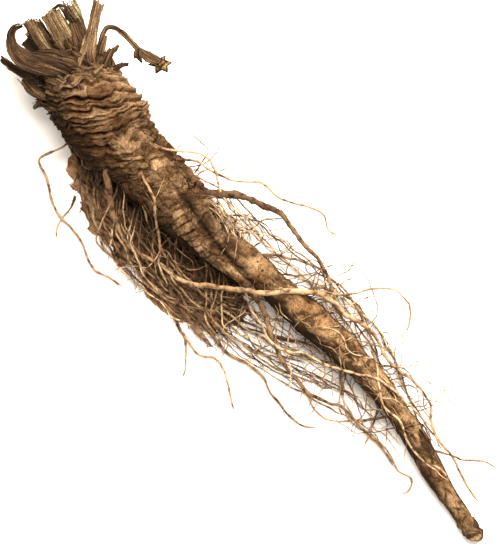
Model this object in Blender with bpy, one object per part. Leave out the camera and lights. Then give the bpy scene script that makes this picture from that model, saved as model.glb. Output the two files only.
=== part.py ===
"""Dried dandelion root lying on its side: folded neck, tapering taproot, side roots,
rootlets, and the cut and withered leaf stalks of the crown.

Sizes are in millimetres and become metres when a shape is made. +X runs from the crown
to the tip, +Y across, +Z up; the root rests on the plane z = 0.
"""

import math
import random

import bmesh
import bpy
import numpy as np
from mathutils import Vector

MM = 0.001
ORIGIN = Vector((-4.1, -3.05, 0.0))  # middle of the root's outline, as the routes below are laid out

# Driving dimensions of the taproot, as (along, across, height, radius) of its axis
TAPROOT = [
    (-84.0, 1.0, 11.2, 3.2), (-82.5, 1.0, 11.0, 6.6), (-80.0, 0.8, 10.8, 9.2), (-76.0, 0.2, 10.7, 10.7),
    (-70.0, -0.9, 10.8, 11.6), (-64.0, -0.8, 10.6, 11.2), (-58.0, -0.8, 10.1, 10.7), (-54.0, -1.7, 9.6, 9.7),
    (-48.0, -1.3, 9.3, 8.9), (-40.0, -1.3, 8.9, 8.2), (-30.0, -0.9, 8.5, 7.5), (-20.0, -0.8, 7.9, 6.7),
    (-12.0, 0.2, 7.2, 5.7), (-5.0, 1.6, 6.7, 5.0), (0.0, 2.4, 6.1, 4.3), (8.0, 3.5, 6.0, 4.4),
    (15.0, 4.2, 6.1, 4.7), (24.0, 5.1, 5.6, 4.2), (35.0, 5.8, 5.0, 4.0), (45.0, 5.3, 4.5, 3.6),
    (55.0, 3.9, 4.0, 3.4), (65.0, 2.1, 3.3, 2.9), (75.0, 0.2, 2.5, 2.4), (82.0, -0.9, 2.0, 2.2),
    (86.0, -1.5, 1.9, 2.1), (89.0, -1.5, 1.9, 1.6), (90.2, -1.4, 1.9, 0.5),
]
TAPROOT_SIDES = 24
RING_GAP_NECK = 0.9
RING_GAP_BODY = 4.0
NECK_END = -52.0

# Folds round the neck, the puckers below them, and the knobs that stand out of the root.
# A zone is where the relief starts to rise, is whole, starts to fade and is gone.
FOLD_PITCH = 3.6
FOLD_DEPTH = 1.7
FOLD_SLANT = 0.5  # how far the folds lean towards the tip for each millimetre across
FOLD_ZONE = (-82.0, -77.0, -58.0, -48.0)
PUCKER_PITCH = 4.6
PUCKER_DEPTH = 0.55
PUCKER_ZONE = (-60.0, -50.0, -24.0, 0.0)
PUCKER_WAVINESS = 1.6
CREASE_LEVEL = 0.55  # the share of a fold's depth that lies below the plain surface
WAVES = [(0.9, 2, 0.6, 0.0), (0.6, 3, 2.0, 0.15), (0.35, 5, 0.0, 0.4)]  # size, lobes, start, drift
LEANS = [(0.05, 2, 0.0, 0.11), (0.03, 3, 0.0, -0.2)]  # the same, as shares of the radius
KNOB_STEEPNESS = 1.5
KNOBS = [  # along, turn round the axis in degrees, radius, height
    (-58.0, 20.0, 4.0, 1.3), (-52.5, 95.0, 4.5, 0.9), (-43.0, 70.0, 5.0, 0.9), (-50.0, 150.0, 4.0, 0.8),
    (-66.0, 165.0, 4.5, 1.0), (-4.0, 80.0, 5.5, 0.9), (14.0, 50.0, 6.0, 0.7), (27.0, 60.0, 5.0, 0.5),
    (37.0, 75.0, 5.0, 0.5), (83.5, 60.0, 2.2, 0.5), (87.0, 150.0, 1.6, 0.5), (-62.0, 250.0, 5.0, 0.9),
    (-33.0, 215.0, 6.0, 0.8), (-22.0, 12.0, 7.5, -2.2), (-59.0, 215.0, 4.5, 1.2), (-50.0, 215.0, 6.0, -1.6),
]
REST_HEIGHT = 0.0  # the underside is worn flat at this height
REST_CUTTER = (300.0, 200.0, 20.0)

# Side roots and long rootlets, each (along, across, height, radius) from where it leaves the root
POINTS_PER_STATION = 1.4
STOUT_RADIUS = 2.0  # a side root that is thicker than this somewhere gets more sides
SIDE_ROOTS = {
    "front_ridge": [
        (-39, -1.8, 11.0, 2.6), (-34, -2.8, 12.2, 3.6), (-28, -3.4, 12.4, 3.6), (-22, -3.6, 11.7, 3.0),
        (-16, -3.7, 10.9, 2.3), (-10, -3.0, 10.3, 1.6), (-5, -2.3, 9.9, 1.25), (0, -2.8, 8.8, 1.05),
        (6, -4.4, 7.0, 0.9), (13, -7.4, 4.9, 0.75), (20, -9.2, 3.3, 0.65), (28, -9.3, 2.4, 0.6),
        (34, -7.5, 2.0, 0.55), (39, -5.2, 1.8, 0.5), (46, -5.3, 1.5, 0.45), (54, -4.8, 1.2, 0.4),
        (59, -5.2, 1.0, 0.35),
    ],
    "long_lateral": [
        (-55, -6.5, 12.0, 1.2), (-51, -10.2, 11.4, 1.1), (-45, -14.6, 9.0, 1.05), (-38, -18.2, 6.0, 0.9),
        (-30, -18.6, 4.6, 0.75), (-26, -16.6, 5.0, 0.7), (-20, -15.5, 5.8, 0.7), (-15.5, -14.0, 7.2, 0.7),
        (-9, -8.8, 9.8, 0.75), (-3, -3.3, 12.2, 0.8), (0.5, -0.6, 12.3, 0.85), (5, 5.0, 11.9, 0.85),
        (10, 9.9, 9.4, 0.8), (15, 11.6, 8.0, 0.75), (20, 12.3, 7.0, 0.75), (25, 14.0, 6.4, 0.7),
        (31, 14.0, 5.8, 0.6), (37, 12.4, 5.0, 0.55), (45, 13.7, 4.2, 0.5), (53, 13.2, 3.6, 0.45),
        (57, 10.2, 3.4, 0.45), (62, 8.4, 3.4, 0.45), (69, 7.8, 2.8, 0.4), (76, 5.5, 1.8, 0.4),
        (83, 5.2, 1.2, 0.35),
    ],
    "upper_lateral": [
        (-33, 3.5, 9.6, 1.5), (-27, 8.5, 9.0, 1.3), (-23.5, 12.0, 8.4, 1.1), (-18, 14.9, 8.2, 1.0),
        (-13, 17.4, 8.0, 0.85), (-7, 17.0, 7.2, 0.75), (0, 16.5, 6.2, 0.7), (6, 16.6, 5.2, 0.6),
        (11, 14.7, 4.4, 0.5), (16, 12.2, 3.8, 0.45), (22, 10.2, 3.0, 0.4),
    ],
    "far_loop": [
        (-66, -9, 8.0, 0.45), (-65, -14, 6.0, 0.4), (-66.7, -19, 3.6, 0.4), (-66.6, -22, 2.2, 0.4),
        (-62, -23.5, 1.4, 0.4), (-57, -26.2, 1.0, 0.4), (-52, -27.6, 0.8, 0.4), (-44, -27.9, 0.8, 0.4),
        (-36, -30.3, 0.8, 0.4), (-30, -28.8, 1.4, 0.4), (-25, -27.4, 1.8, 0.35),
    ],
    "neck_strand": [
        (-54, -8, 8.0, 0.5), (-52, -12, 7.6, 0.45), (-49, -17.5, 5.0, 0.45), (-45, -21.5, 2.8, 0.4),
        (-41, -22.8, 1.8, 0.4), (-37, -24.8, 1.2, 0.4), (-32, -23.4, 1.4, 0.4), (-26, -20.6, 2.6, 0.35),
        (-18, -19.6, 3.2, 0.35),
    ],
    "front_strand": [
        (-47, -2.4, 16.0, 0.5), (-43, -3.9, 17.6, 0.45), (-38, -4.9, 16.8, 0.45), (-34, -8.0, 14.6, 0.4),
        (-30, -11.0, 11.5, 0.4), (-26, -14.2, 8.6, 0.4), (-24, -16.5, 6.4, 0.35), (-18, -18.5, 4.4, 0.35),
    ],
    "upper_strand": [
        (-49, 4.0, 15.0, 0.5), (-45, 6.2, 14.9, 0.45), (-41, 10.3, 13.4, 0.4), (-37, 12.7, 12.2, 0.4),
        (-33, 12.0, 10.8, 0.4), (-29, 10.1, 10.0, 0.4), (-24, 8.6, 9.4, 0.35), (-16, 9.6, 7.0, 0.35),
        (-8, 8.2, 5.0, 0.35),
    ],
    "upper_strand_two": [
        (-42, 6.0, 12.0, 0.5), (-38, 9.9, 11.0, 0.4), (-33, 10.9, 10.2, 0.4), (-28, 13.2, 9.0, 0.4),
        (-25, 16.0, 8.4, 0.4), (-22, 18.9, 7.8, 0.4), (-17, 19.7, 7.0, 0.4), (-12, 22.0, 6.0, 0.35),
        (-8, 24.4, 5.2, 0.35), (-4, 25.7, 4.4, 0.35), (0, 24.4, 3.6, 0.35), (4, 25.6, 2.6, 0.35),
    ],
    "high_loop": [
        (8, 8.0, 8.0, 0.6), (12, 12.2, 7.8, 0.45), (17, 17.0, 6.6, 0.4), (19.5, 21.8, 5.4, 0.4),
        (23, 26.0, 4.4, 0.35), (28, 27.0, 3.4, 0.35), (31.5, 25.4, 2.6, 0.35), (35, 20.8, 1.6, 0.35),
    ],
    "crossing_strand": [
        (-6, -2.6, 9.8, 0.5), (0, -5.0, 9.4, 0.4), (6, -6.7, 8.0, 0.4), (12, -7.6, 6.8, 0.4),
        (17, -5.8, 6.4, 0.4), (21, -2.6, 7.0, 0.4), (27, -0.7, 7.8, 0.4), (32, 2.4, 9.2, 0.4),
        (38, 6.4, 9.7, 0.4), (44, 8.5, 8.6, 0.4), (50, 8.4, 7.0, 0.35), (58, 8.9, 5.0, 0.35),
        (65, 6.4, 3.6, 0.35),
    ],
    "over_strand": [
        (32, 10.8, 6.4, 0.35), (36, 9.2, 9.0, 0.35), (40, 6.2, 9.4, 0.35), (45, 3.2, 8.6, 0.35),
        (51, 3.6, 8.1, 0.35), (57, 1.6, 7.0, 0.35), (63, 1.4, 6.0, 0.35), (68, 3.0, 5.6, 0.35),
        (72, 3.2, 3.6, 0.35),
    ],
    "lower_strand": [
        (29, 2.0, 4.0, 0.45), (33, -1.4, 3.0, 0.35), (38, -4.4, 2.8, 0.35), (47, -5.0, 2.2, 0.35),
        (54, -4.0, 1.8, 0.35), (61, -5.6, 1.3, 0.35), (65, -4.4, 1.3, 0.35), (67, -7.6, 0.8, 0.35),
        (65.6, -10.0, 0.6, 0.35),
    ],
    "lower_arc": [
        (48, 2.0, 3.0, 0.45), (46, -1.8, 2.4, 0.4), (43, -5.0, 1.8, 0.4), (40, -9.0, 1.2, 0.35),
        (36, -11.4, 0.9, 0.35), (30, -10.6, 1.0, 0.35), (24, -9.6, 1.9, 0.35),
    ],
    "lower_spur": [
        (45, 1.5, 2.6, 0.45), (47.5, -3.0, 1.8, 0.35), (50.5, -9.2, 0.7, 0.35),
    ],
    "tip_spray": [
        (63, 5.0, 3.6, 0.35), (68, 8.0, 3.4, 0.35), (71.5, 10.4, 2.4, 0.35), (75, 13.4, 1.6, 0.35),
        (79, 14.8, 1.0, 0.35),
    ],
    "mass_tail": [
        (-32, -18.6, 4.9, 0.5), (-26, -19.8, 2.8, 0.5), (-18, -19.8, 1.6, 0.6), (-10, -18.2, 1.2, 0.6),
        (-2, -18.4, 1.0, 0.6), (6, -18.4, 1.0, 0.6), (12, -16.3, 1.0, 0.5), (18, -16.0, 0.9, 0.45),
        (24, -17.4, 0.8, 0.4), (33, -17.1, 0.8, 0.35), (38, -13.8, 0.7, 0.35),
    ],
    "mass_fork": [
        (-33, -23.8, 1.3, 0.45), (-26, -23.6, 1.2, 0.45), (-20, -22.6, 1.2, 0.45), (-12, -22.8, 1.0, 0.45),
        (-4, -24.2, 0.8, 0.4), (1, -24.8, 0.8, 0.4), (5, -22.4, 0.8, 0.4), (10, -22.9, 0.7, 0.4),
        (16, -26.2, 0.6, 0.35), (20, -28.0, 0.6, 0.35),
    ],
    "mass_spur": [
        (-9, -23.4, 0.9, 0.4), (-3, -25.6, 0.8, 0.4), (0.5, -28.6, 0.7, 0.35), (3.8, -33.2, 0.6, 0.35),
    ],
    "blunt_root": [
        (-14, -19.6, 2.2, 0.6), (-8, -20.3, 1.8, 0.75), (-3, -20.8, 1.5, 0.8), (1, -20.6, 1.2, 0.6),
        (3.4, -20.2, 1.0, 0.35),
    ],
    "neck_spur": [
        (-53, -20.8, 1.9, 0.4), (-51.6, -24.0, 1.3, 0.35), (-51, -28.0, 0.9, 0.35), (-49.5, -31.0, 0.7, 0.35),
        (-47.3, -33.2, 0.6, 0.35),
    ],
}

# Rootlets of the two fringes: they leave the flank, bow outwards and sweep towards the tip
LOWER_FRINGE = {"count": 18, "side": -1, "start": (-63, -28), "end": (-12, 40), "bow": (7, 16), "seed": 11}
UPPER_FRINGE = {"count": 8, "side": 1, "start": (-46, 20), "end": (0, 60), "bow": (4, 9), "seed": 23}
FRINGE_RADIUS = 0.38
FRINGE_POINTS = 8
FRINGE_LOWEST = 0.55
FRINGE_SHORTEST = 22.0
FRINGE_START_SPREAD = 2.0
FRINGE_DRIFT = 3.0
FRINGE_SWAY = 0.9
FRINGE_SWAY_TURNS = 5.2  # radians of sway along a rootlet
FRINGE_LIFT = 1.6
FRINGE_LIFT_TURNS = 3.1
FRINGE_FALL = 1.4  # how soon a rootlet comes down to the surface
FRINGE_BOW = (0.08, 0.86)  # the share of a half wave where the bow starts, and how much of it there is
FRINGE_BOW_POWER = 0.9
FRINGE_SUNK = 0.7  # a rootlet starts this share of the taproot's radius out from its axis
FRINGE_FLANK = 0.95

# Leaf stalks: route as (along, across, height), then width and thickness along it
SOCKET_GAP = 0.5
STALK_SIDES = 12
STALKS = {
    "stalk_fan_upper": {
        "route": [(-79, 4.4, 12.6), (-86, 5.6, 14.4), (-93.6, 7.3, 15.0)],
        "size": [(4.8, 2.2), (5.6, 1.9), (5.2, 1.7)], "tilt": (0, 4, 6),
    },
    "stalk_fan_middle": {
        "route": [(-79, 1.0, 10.6), (-86, 1.7, 11.6), (-94.4, 2.9, 12.0)],
        "size": [(2.6, 2.0), (2.8, 2.0), (2.8, 1.8)], "tilt": (0, -4, -6),
    },
    "stalk_fan_lower": {
        "route": [(-79, -1.2, 13.3), (-87, -0.4, 14.0), (-95.7, 1.4, 14.5)],
        "size": [(2.6, 2.0), (3.0, 2.0), (3.3, 1.8)], "tilt": (0, 0, 0),
    },
    "stalk_back_upper": {
        "route": [(-79, 5.4, 7.4), (-86, 6.4, 8.6), (-92.6, 6.4, 9.8)],
        "size": [(2.8, 2.6), (3.2, 2.4), (3.4, 2.0)], "tilt": (0, 20, 30),
    },
    "stalk_back_lower": {
        "route": [(-79, -0.6, 6.6), (-87, -0.6, 7.6), (-94.0, -0.2, 8.6)],
        "size": [(3.0, 2.6), (3.2, 2.6), (3.2, 2.2)], "tilt": (0, -20, -30),
    },
    "flower_stalk_stub": {
        "route": [(-79, 9.2, 9.2), (-84.5, 10.4, 9.8), (-88, 11.4, 10.6), (-92.2, 12.4, 11.2)],
        "size": [(2.6, 2.6), (3.0, 2.8), (4.2, 3.8), (5.2, 4.6)], "tilt": (0, 0, 0, 0),
    },
    "stalk_tall": {
        "route": [
            (-75.4, 5.8, 17.2), (-78.4, 7.8, 19.4), (-81.2, 11.4, 18.4), (-84.0, 15.0, 17.2),
            (-86.8, 18.8, 16.2),
        ],
        "size": [(2.2, 1.6), (4.4, 1.5), (3.4, 1.5), (2.9, 1.4), (3.1, 1.2)],
        "tilt": (0, 10, 15, 10, 0),
    },
    "stalk_hooked": {
        "route": [
            (-77, 8.4, 14.8), (-78.2, 11.6, 14.8), (-79.8, 14.2, 14.8), (-80.2, 16.2, 14.8),
            (-78.4, 17.7, 14.8), (-74.6, 18.3, 14.4), (-70.8, 18.3, 13.7), (-67.2, 19.0, 13.1),
            (-64.0, 20.4, 12.8),
        ],
        "size": [
            (1.5, 1.4), (1.5, 1.3), (1.4, 1.2), (1.4, 1.1), (1.4, 1.1), (1.5, 1.1), (1.6, 1.0), (2.8, 0.9),
            (2.0, 0.8),
        ],
        "tilt": (0, 0, 0, 0, 0, 0, 0, 0, 0),
    },
    "leaf_base_scroll": {
        "route": [
            (-75.6, 0.6, 19.0), (-78.8, 0.9, 20.9), (-82.2, -0.8, 20.9), (-85.8, -3.7, 19.4),
            (-89.2, -5.6, 17.0), (-92.6, -6.2, 14.2), (-95.8, -5.4, 12.4), (-97.3, -3.0, 11.6),
            (-96.9, -0.9, 11.2),
        ],
        "size": [
            (4.4, 1.2), (6.4, 1.2), (7.6, 1.2), (7.6, 1.2), (7.4, 1.2), (7.2, 1.1), (6.2, 1.0), (4.8, 0.9),
            (3.2, 0.9),
        ],
        "tilt": (0, 4, 14, 30, 50, 68, 80, 88, 90), "cup": 0.35,
    },
    "leaf_base_flake": {
        "route": [(-75.5, -5.6, 13.6), (-78.4, -8.2, 13.6), (-81.6, -9.4, 12.6), (-84.6, -9.2, 11.2)],
        "size": [(2.8, 1.0), (5.0, 1.0), (5.8, 0.9), (5.0, 0.9)], "tilt": (40, 46, 50, 54), "cup": 0.3,
    },
    "stalk_dark_lower": {
        "route": [(-77, -5.0, 7.4), (-83, -7.4, 7.6), (-89, -9.8, 7.6), (-94.2, -10.8, 8.2)],
        "size": [(2.6, 1.4), (2.8, 1.2), (2.4, 1.0), (1.8, 0.9)], "tilt": (10, 10, 25, 40),
    },
    "stub_dark_upper": {
        "route": [(-73.6, 6.4, 12.6), (-74.4, 11.0, 13.4), (-74.8, 15.2, 14.0)],
        "size": [(2.2, 2.0), (1.8, 1.5), (0.9, 0.8)], "tilt": (0, 0, 0),
    },
    "stub_pale_tip": {
        "route": [(-71.0, 6.6, 13.4), (-70.6, 11.0, 14.2), (-69.4, 13.6, 14.6)],
        "size": [(2.2, 1.7), (1.7, 1.3), (0.8, 0.7)], "tilt": (0, 0, 0),
    },
    "stub_brown_lower": {
        "route": [(-76.6, -7.0, 9.8), (-77.6, -10.4, 9.6), (-77.9, -13.0, 9.4)],
        "size": [(2.2, 2.0), (2.0, 1.6), (1.1, 1.0)], "tilt": (0, 0, 0),
    },
    "stalk_under_upper": {
        "route": [(-78.5, 6.6, 4.6), (-84, 8.4, 4.2), (-89.4, 9.6, 4.6)],
        "size": [(2.4, 1.8), (2.6, 1.6), (2.4, 1.4)], "tilt": (0, -10, -20),
    },
    "stalk_under_lower": {
        "route": [(-79, 0.0, 2.8), (-85, 0.4, 2.6), (-90.6, 0.6, 3.0)],
        "size": [(2.6, 1.6), (3.0, 1.6), (2.6, 1.4)], "tilt": (0, 0, 0),
    },
}
RIB_DEPTH = 0.12
TORN_END = 0.7
TEAR_REACH = 6.0  # points of a stalk's last ring lie within this of the end of its route

# The withered leaf scrap at the end of the hooked stalk
SCRAP_CENTRE = (-63.7, 20.3, 12.8)
SCRAP_POINTS = 6
SCRAP_REACH = (2.0, 3.3)
SCRAP_THICKNESS = 0.9
SCRAP_LEAN_DEG = (18.0, -14.0)
SCRAP_SEED = 5

FINISHES = {  # linear colour, roughness
    "root_bark": ((0.23, 0.13, 0.07), 0.85),
    "leaf_stalk": ((0.42, 0.28, 0.15), 0.7),
    "withered_leaf": ((0.09, 0.05, 0.03), 0.85),
}
WITHERED = {"stalk_dark_lower", "stub_dark_upper", "stub_brown_lower", "stalk_hooked"}


def clear_scene():
    """Removes whatever the file starts with."""
    for obj in list(bpy.data.objects):
        bpy.data.objects.remove(obj)


def finish(name):
    """One Principled material, made once."""
    material = bpy.data.materials.get(name)
    if material is None:
        colour, roughness = FINISHES[name]
        material = bpy.data.materials.new(name)
        material.use_nodes = True
        shader = material.node_tree.nodes["Principled BSDF"]
        shader.inputs["Base Color"].default_value = (*colour, 1.0)
        shader.inputs["Roughness"].default_value = roughness
        shader.inputs["Metallic"].default_value = 0.0
    return material


def smooth_route(points, count):
    """Points spaced along a Catmull-Rom curve through the given rows."""
    rows = np.array(points, float)
    rows = np.vstack([2 * rows[0] - rows[1], rows, 2 * rows[-1] - rows[-2]])
    out = []
    for t in np.linspace(0, len(rows) - 3, count):
        i = min(int(t), len(rows) - 4)
        u = t - i
        a, b, c, d = rows[i : i + 4]
        out.append(
            0.5 * (2 * b + (c - a) * u + (2 * a - 5 * b + 4 * c - d) * u * u + (3 * b - a - 3 * c + d) * u**3)
        )
    return np.array(out)


def smoothstep(low, high, x):
    """0 below low, 1 above high, smooth between."""
    t = np.clip((x - low) / (high - low), 0.0, 1.0)
    return t * t * (3 - 2 * t)


def tube(name, rows, resolution, collection):
    """A round tube along rows of (along, across, height, radius), as a curve object."""
    curve = bpy.data.curves.new(name, "CURVE")
    curve.dimensions = "3D"
    curve.bevel_depth = MM
    curve.bevel_resolution = resolution
    curve.use_fill_caps = True
    spline = curve.splines.new("POLY")
    spline.points.add(len(rows) - 1)
    for point, (along, across, height, radius) in zip(spline.points, rows):
        place = (Vector((along, across, height)) - ORIGIN) * MM
        point.co = (*place, 1.0)
        point.radius = radius
    obj = bpy.data.objects.new(name, curve)
    collection.objects.link(obj)
    return obj


def to_mesh(curve_object, collection):
    """The curve as a closed mesh object of the same name, its caps welded on."""
    bpy.context.view_layer.update()
    graph = bpy.context.evaluated_depsgraph_get()
    mesh = bpy.data.meshes.new_from_object(curve_object.evaluated_get(graph))
    shape = bmesh.new()
    shape.from_mesh(mesh)
    bmesh.ops.remove_doubles(shape, verts=shape.verts, dist=0.01 * MM)
    bmesh.ops.recalc_face_normals(shape, faces=shape.faces)
    shape.to_mesh(mesh)
    shape.free()
    name = curve_object.name
    matrix = curve_object.matrix_world.copy()
    bpy.data.objects.remove(curve_object)
    obj = bpy.data.objects.new(name, mesh)
    obj.matrix_world = matrix
    collection.objects.link(obj)
    return obj


def apply_modifiers(obj):
    """Bakes the object's modifiers into its mesh."""
    bpy.context.view_layer.update()
    graph = bpy.context.evaluated_depsgraph_get()
    mesh = bpy.data.meshes.new_from_object(obj.evaluated_get(graph))
    obj.modifiers.clear()
    obj.data = mesh


def boolean(obj, operation, collection, solver="MANIFOLD"):
    """Joins a collection's objects to obj, or cuts them from it, and removes them."""
    modifier = obj.modifiers.new(operation.title(), "BOOLEAN")
    modifier.operation = operation
    modifier.operand_type = "COLLECTION"
    modifier.collection = collection
    modifier.solver = solver
    apply_modifiers(obj)
    for other in list(collection.objects):
        bpy.data.objects.remove(other)
    bpy.data.collections.remove(collection)


def keep_largest(obj):
    """Drops the loose scraps that a cut leaves, and keeps the one main body."""
    shape = bmesh.new()
    shape.from_mesh(obj.data)
    left = set(shape.verts)
    bodies = []
    while left:
        body = {left.pop()}
        edge = list(body)
        while edge:
            near = {e.other_vert(v) for v in edge for e in v.link_edges} - body
            body |= near
            edge = list(near)
        left -= body
        bodies.append(body)
    bodies.sort(key=len)
    scraps = [v for body in bodies[:-1] for v in body]
    bmesh.ops.delete(shape, geom=scraps, context="VERTS")
    shape.to_mesh(obj.data)
    shape.free()


def helper_collection(name):
    """A collection that isn't rendered, for cutters and pieces about to be joined."""
    collection = bpy.data.collections.new(name)
    collection.hide_render = True
    bpy.context.scene.collection.children.link(collection)
    return collection


def axis_at(along):
    """The taproot's (across, height, radius) at each place along it."""
    rows = smooth_route(TAPROOT, 12 * len(TAPROOT))
    return [np.interp(along, rows[:, 0], rows[:, i]) for i in (1, 2, 3)]


def within(zone, along):
    """1 inside a zone, fading to 0 over its two ends."""
    rise, whole, fade, gone = zone
    return smoothstep(rise, whole, along) * (1 - smoothstep(fade, gone, along))


def lobed(rows, along, turn):
    """A sum of waves round the axis, each drifting along it."""
    return sum(size * np.sin(lobes * turn + start + drift * along) for size, lobes, start, drift in rows)


def relief(along, turn, radius):
    """Height in millimetres that folds, puckers and knobs add to the taproot's surface."""
    wave = lobed(WAVES, along, turn)
    along_folds = along - FOLD_SLANT * radius * np.cos(turn)
    fold = np.abs(np.sin(math.pi * (along_folds + wave) / FOLD_PITCH))
    height = within(FOLD_ZONE, along) * FOLD_DEPTH * (fold - CREASE_LEVEL)
    pucker = np.abs(np.sin(math.pi * (along_folds + PUCKER_WAVINESS * wave) / PUCKER_PITCH))
    height = height + within(PUCKER_ZONE, along) * PUCKER_DEPTH * (pucker - CREASE_LEVEL)
    for knob_along, knob_turn, knob_radius, knob_height in KNOBS:
        arc = (turn - math.radians(knob_turn) + math.pi) % (2 * math.pi) - math.pi
        reach = ((along - knob_along) ** 2 + (arc * radius) ** 2) / knob_radius**2
        height = height + knob_height * np.exp(-KNOB_STEEPNESS * reach)
    return height + lobed(LEANS, along, turn) * radius


def make_taproot(collection):
    """The taproot's own body: a tapering tube with the relief raised from its surface."""
    neck = np.arange(TAPROOT[0][0], NECK_END, RING_GAP_NECK)
    body = np.arange(NECK_END, TAPROOT[-1][0], RING_GAP_BODY)
    stations = np.concatenate([neck, body, [TAPROOT[-1][0]]])
    rows = np.column_stack([stations, *axis_at(stations)])
    curve = tube("taproot", rows, 0, collection)
    curve.data.bevel_mode = "OBJECT"
    curve.data.bevel_object = ring_profile("taproot_ring", TAPROOT_SIDES, 1.0, 1.0, 0.0, 0.0, collection)
    outline = curve.data.bevel_object
    obj = to_mesh(curve, collection)
    bpy.data.objects.remove(outline)
    raise_relief(obj.data)
    return obj


def raise_relief(mesh):
    """Moves each vertex away from the taproot's axis by the relief there."""
    points = np.empty(len(mesh.vertices) * 3)
    mesh.vertices.foreach_get("co", points)
    points = points.reshape(-1, 3) / MM + np.array(ORIGIN)
    across, height, radius = axis_at(points[:, 0])
    arm = np.column_stack([points[:, 1] - across, points[:, 2] - height])
    turn = np.arctan2(arm[:, 1], arm[:, 0])
    length = np.maximum(np.hypot(arm[:, 0], arm[:, 1]), 0.01)
    inner = np.clip(length / np.maximum(radius, 0.5), 0.0, 1.0)
    stretch = 1 + relief(points[:, 0], turn, radius) * inner / length
    points[:, 1] = across + arm[:, 0] * stretch
    points[:, 2] = height + arm[:, 1] * stretch
    mesh.vertices.foreach_set("co", ((points - np.array(ORIGIN)) * MM).ravel())
    mesh.update()


def ring_profile(name, sides, width, thickness, ribs, cup, collection):
    """A closed outline to sweep: an ellipse with fine ribs, bent into a cup."""
    curve = bpy.data.curves.new(name, "CURVE")
    curve.dimensions = "2D"
    curve.fill_mode = "NONE"
    spline = curve.splines.new("POLY")
    spline.points.add(sides - 1)
    spline.use_cyclic_u = True
    for i, point in enumerate(spline.points):
        turn = 2 * math.pi * i / sides
        rib = 1 + ribs * math.cos(math.pi * i)
        x = math.cos(turn) * rib * width
        y = math.sin(turn) * rib * thickness - cup * (x * x - 0.5 * width * width)
        point.co = (x * MM, y * MM, 0.0, 1.0)
    obj = bpy.data.objects.new(name, curve)
    collection.objects.link(obj)
    return obj


def fringe_routes(count, side, start, end, bow, seed):
    """Routes of rootlets that leave one flank, bow out and lie down towards the tip."""
    draw = random.Random(seed)
    routes = []
    for i in range(count):
        share = (i + 0.5) / count
        first = start[0] + (start[1] - start[0]) * share
        first = first + draw.uniform(-FRINGE_START_SPREAD, FRINGE_START_SPREAD)
        last = max(draw.uniform(*end), first + FRINGE_SHORTEST)
        out = draw.uniform(*bow)
        drift = draw.uniform(-FRINGE_DRIFT, FRINGE_DRIFT)
        phase = draw.uniform(0, 2 * math.pi)
        across, height, radius = (float(v) for v in axis_at(first))
        route = [(first, across + side * FRINGE_SUNK * radius, height, FRINGE_RADIUS)]
        for k in range(1, FRINGE_POINTS):
            t = k / (FRINGE_POINTS - 1)
            along = first + (last - first) * t
            across, height, radius = (float(v) for v in axis_at(along))
            bow_at = math.sin(math.pi * (FRINGE_BOW[0] + FRINGE_BOW[1] * t))
            reach = FRINGE_FLANK * radius + out * bow_at**FRINGE_BOW_POWER
            sway = FRINGE_SWAY * math.sin(FRINGE_SWAY_TURNS * t + phase) * min(1.0, 3 * t)
            lift = FRINGE_LIFT * t * math.sin(FRINGE_LIFT_TURNS * t + phase)
            z = max(FRINGE_LOWEST, height * (1 - t) ** FRINGE_FALL + lift)
            route.append((along, across + side * reach + sway + drift * t, z, FRINGE_RADIUS))
        routes.append(route)
    return routes


def make_root(collection):
    """The whole root as it grew: taproot, side roots and rootlets in one solid."""
    root = make_taproot(collection)
    grown = helper_collection("grown_on")
    for name, points in SIDE_ROOTS.items():
        rows = smooth_route(points, 1 + round(POINTS_PER_STATION * (len(points) - 1)))
        resolution = 2 if rows[:, 3].max() > STOUT_RADIUS else 0
        to_mesh(tube(name, rows, resolution, grown), grown)
    for fringe in (LOWER_FRINGE, UPPER_FRINGE):
        for i, points in enumerate(fringe_routes(**fringe)):
            rows = smooth_route(points, len(points) + 1)
            to_mesh(tube(f"rootlet_{fringe['seed']}_{i}", rows, 0, grown), grown)
    boolean(root, "UNION", grown)
    return root


def stalk_shape(name, spec, extra, collection):
    """A leaf stalk swept along its route; extra millimetres all round make a socket cutter."""
    route = np.array(spec["route"], float)
    size = np.array(spec["size"], float)
    tilt = np.array(spec["tilt"], float)
    rows = smooth_route(np.column_stack([route, size, tilt]), 1 + 2 * (len(route) - 1))
    curve = tube(name, np.column_stack([rows[:, :3], np.ones(len(rows))]), 0, collection)
    curve.data.twist_mode = "Z_UP"
    for point, row in zip(curve.data.splines[0].points, rows):
        point.tilt = math.radians(row[5])
        point.radius = row[3] / 2 + extra
    flatness = float(np.mean(size[:, 1] + 2 * extra) / np.mean(size[:, 0] + 2 * extra))
    ribs = 0.0 if extra else RIB_DEPTH
    cup = spec.get("cup", 0.0)
    outline = ring_profile(name + "_outline", STALK_SIDES, 1.0, flatness, ribs, cup, collection)
    curve.data.bevel_mode = "OBJECT"
    curve.data.bevel_object = outline
    obj = to_mesh(curve, collection)
    bpy.data.objects.remove(outline)
    return obj


def tear_end(obj, spec, seed):
    """Makes the far end of a stalk ragged, as where it was cut or broke off."""
    draw = random.Random(seed)
    last = (Vector(spec["route"][-1]) - ORIGIN) * MM
    before = (Vector(spec["route"][-2]) - ORIGIN) * MM
    outward = (last - before).normalized()
    for vertex in obj.data.vertices:
        arm = vertex.co - last
        if arm.dot(outward) > -0.05 * MM and arm.length < TEAR_REACH * MM:
            vertex.co += outward * draw.uniform(-TORN_END, TORN_END) * MM


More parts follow.
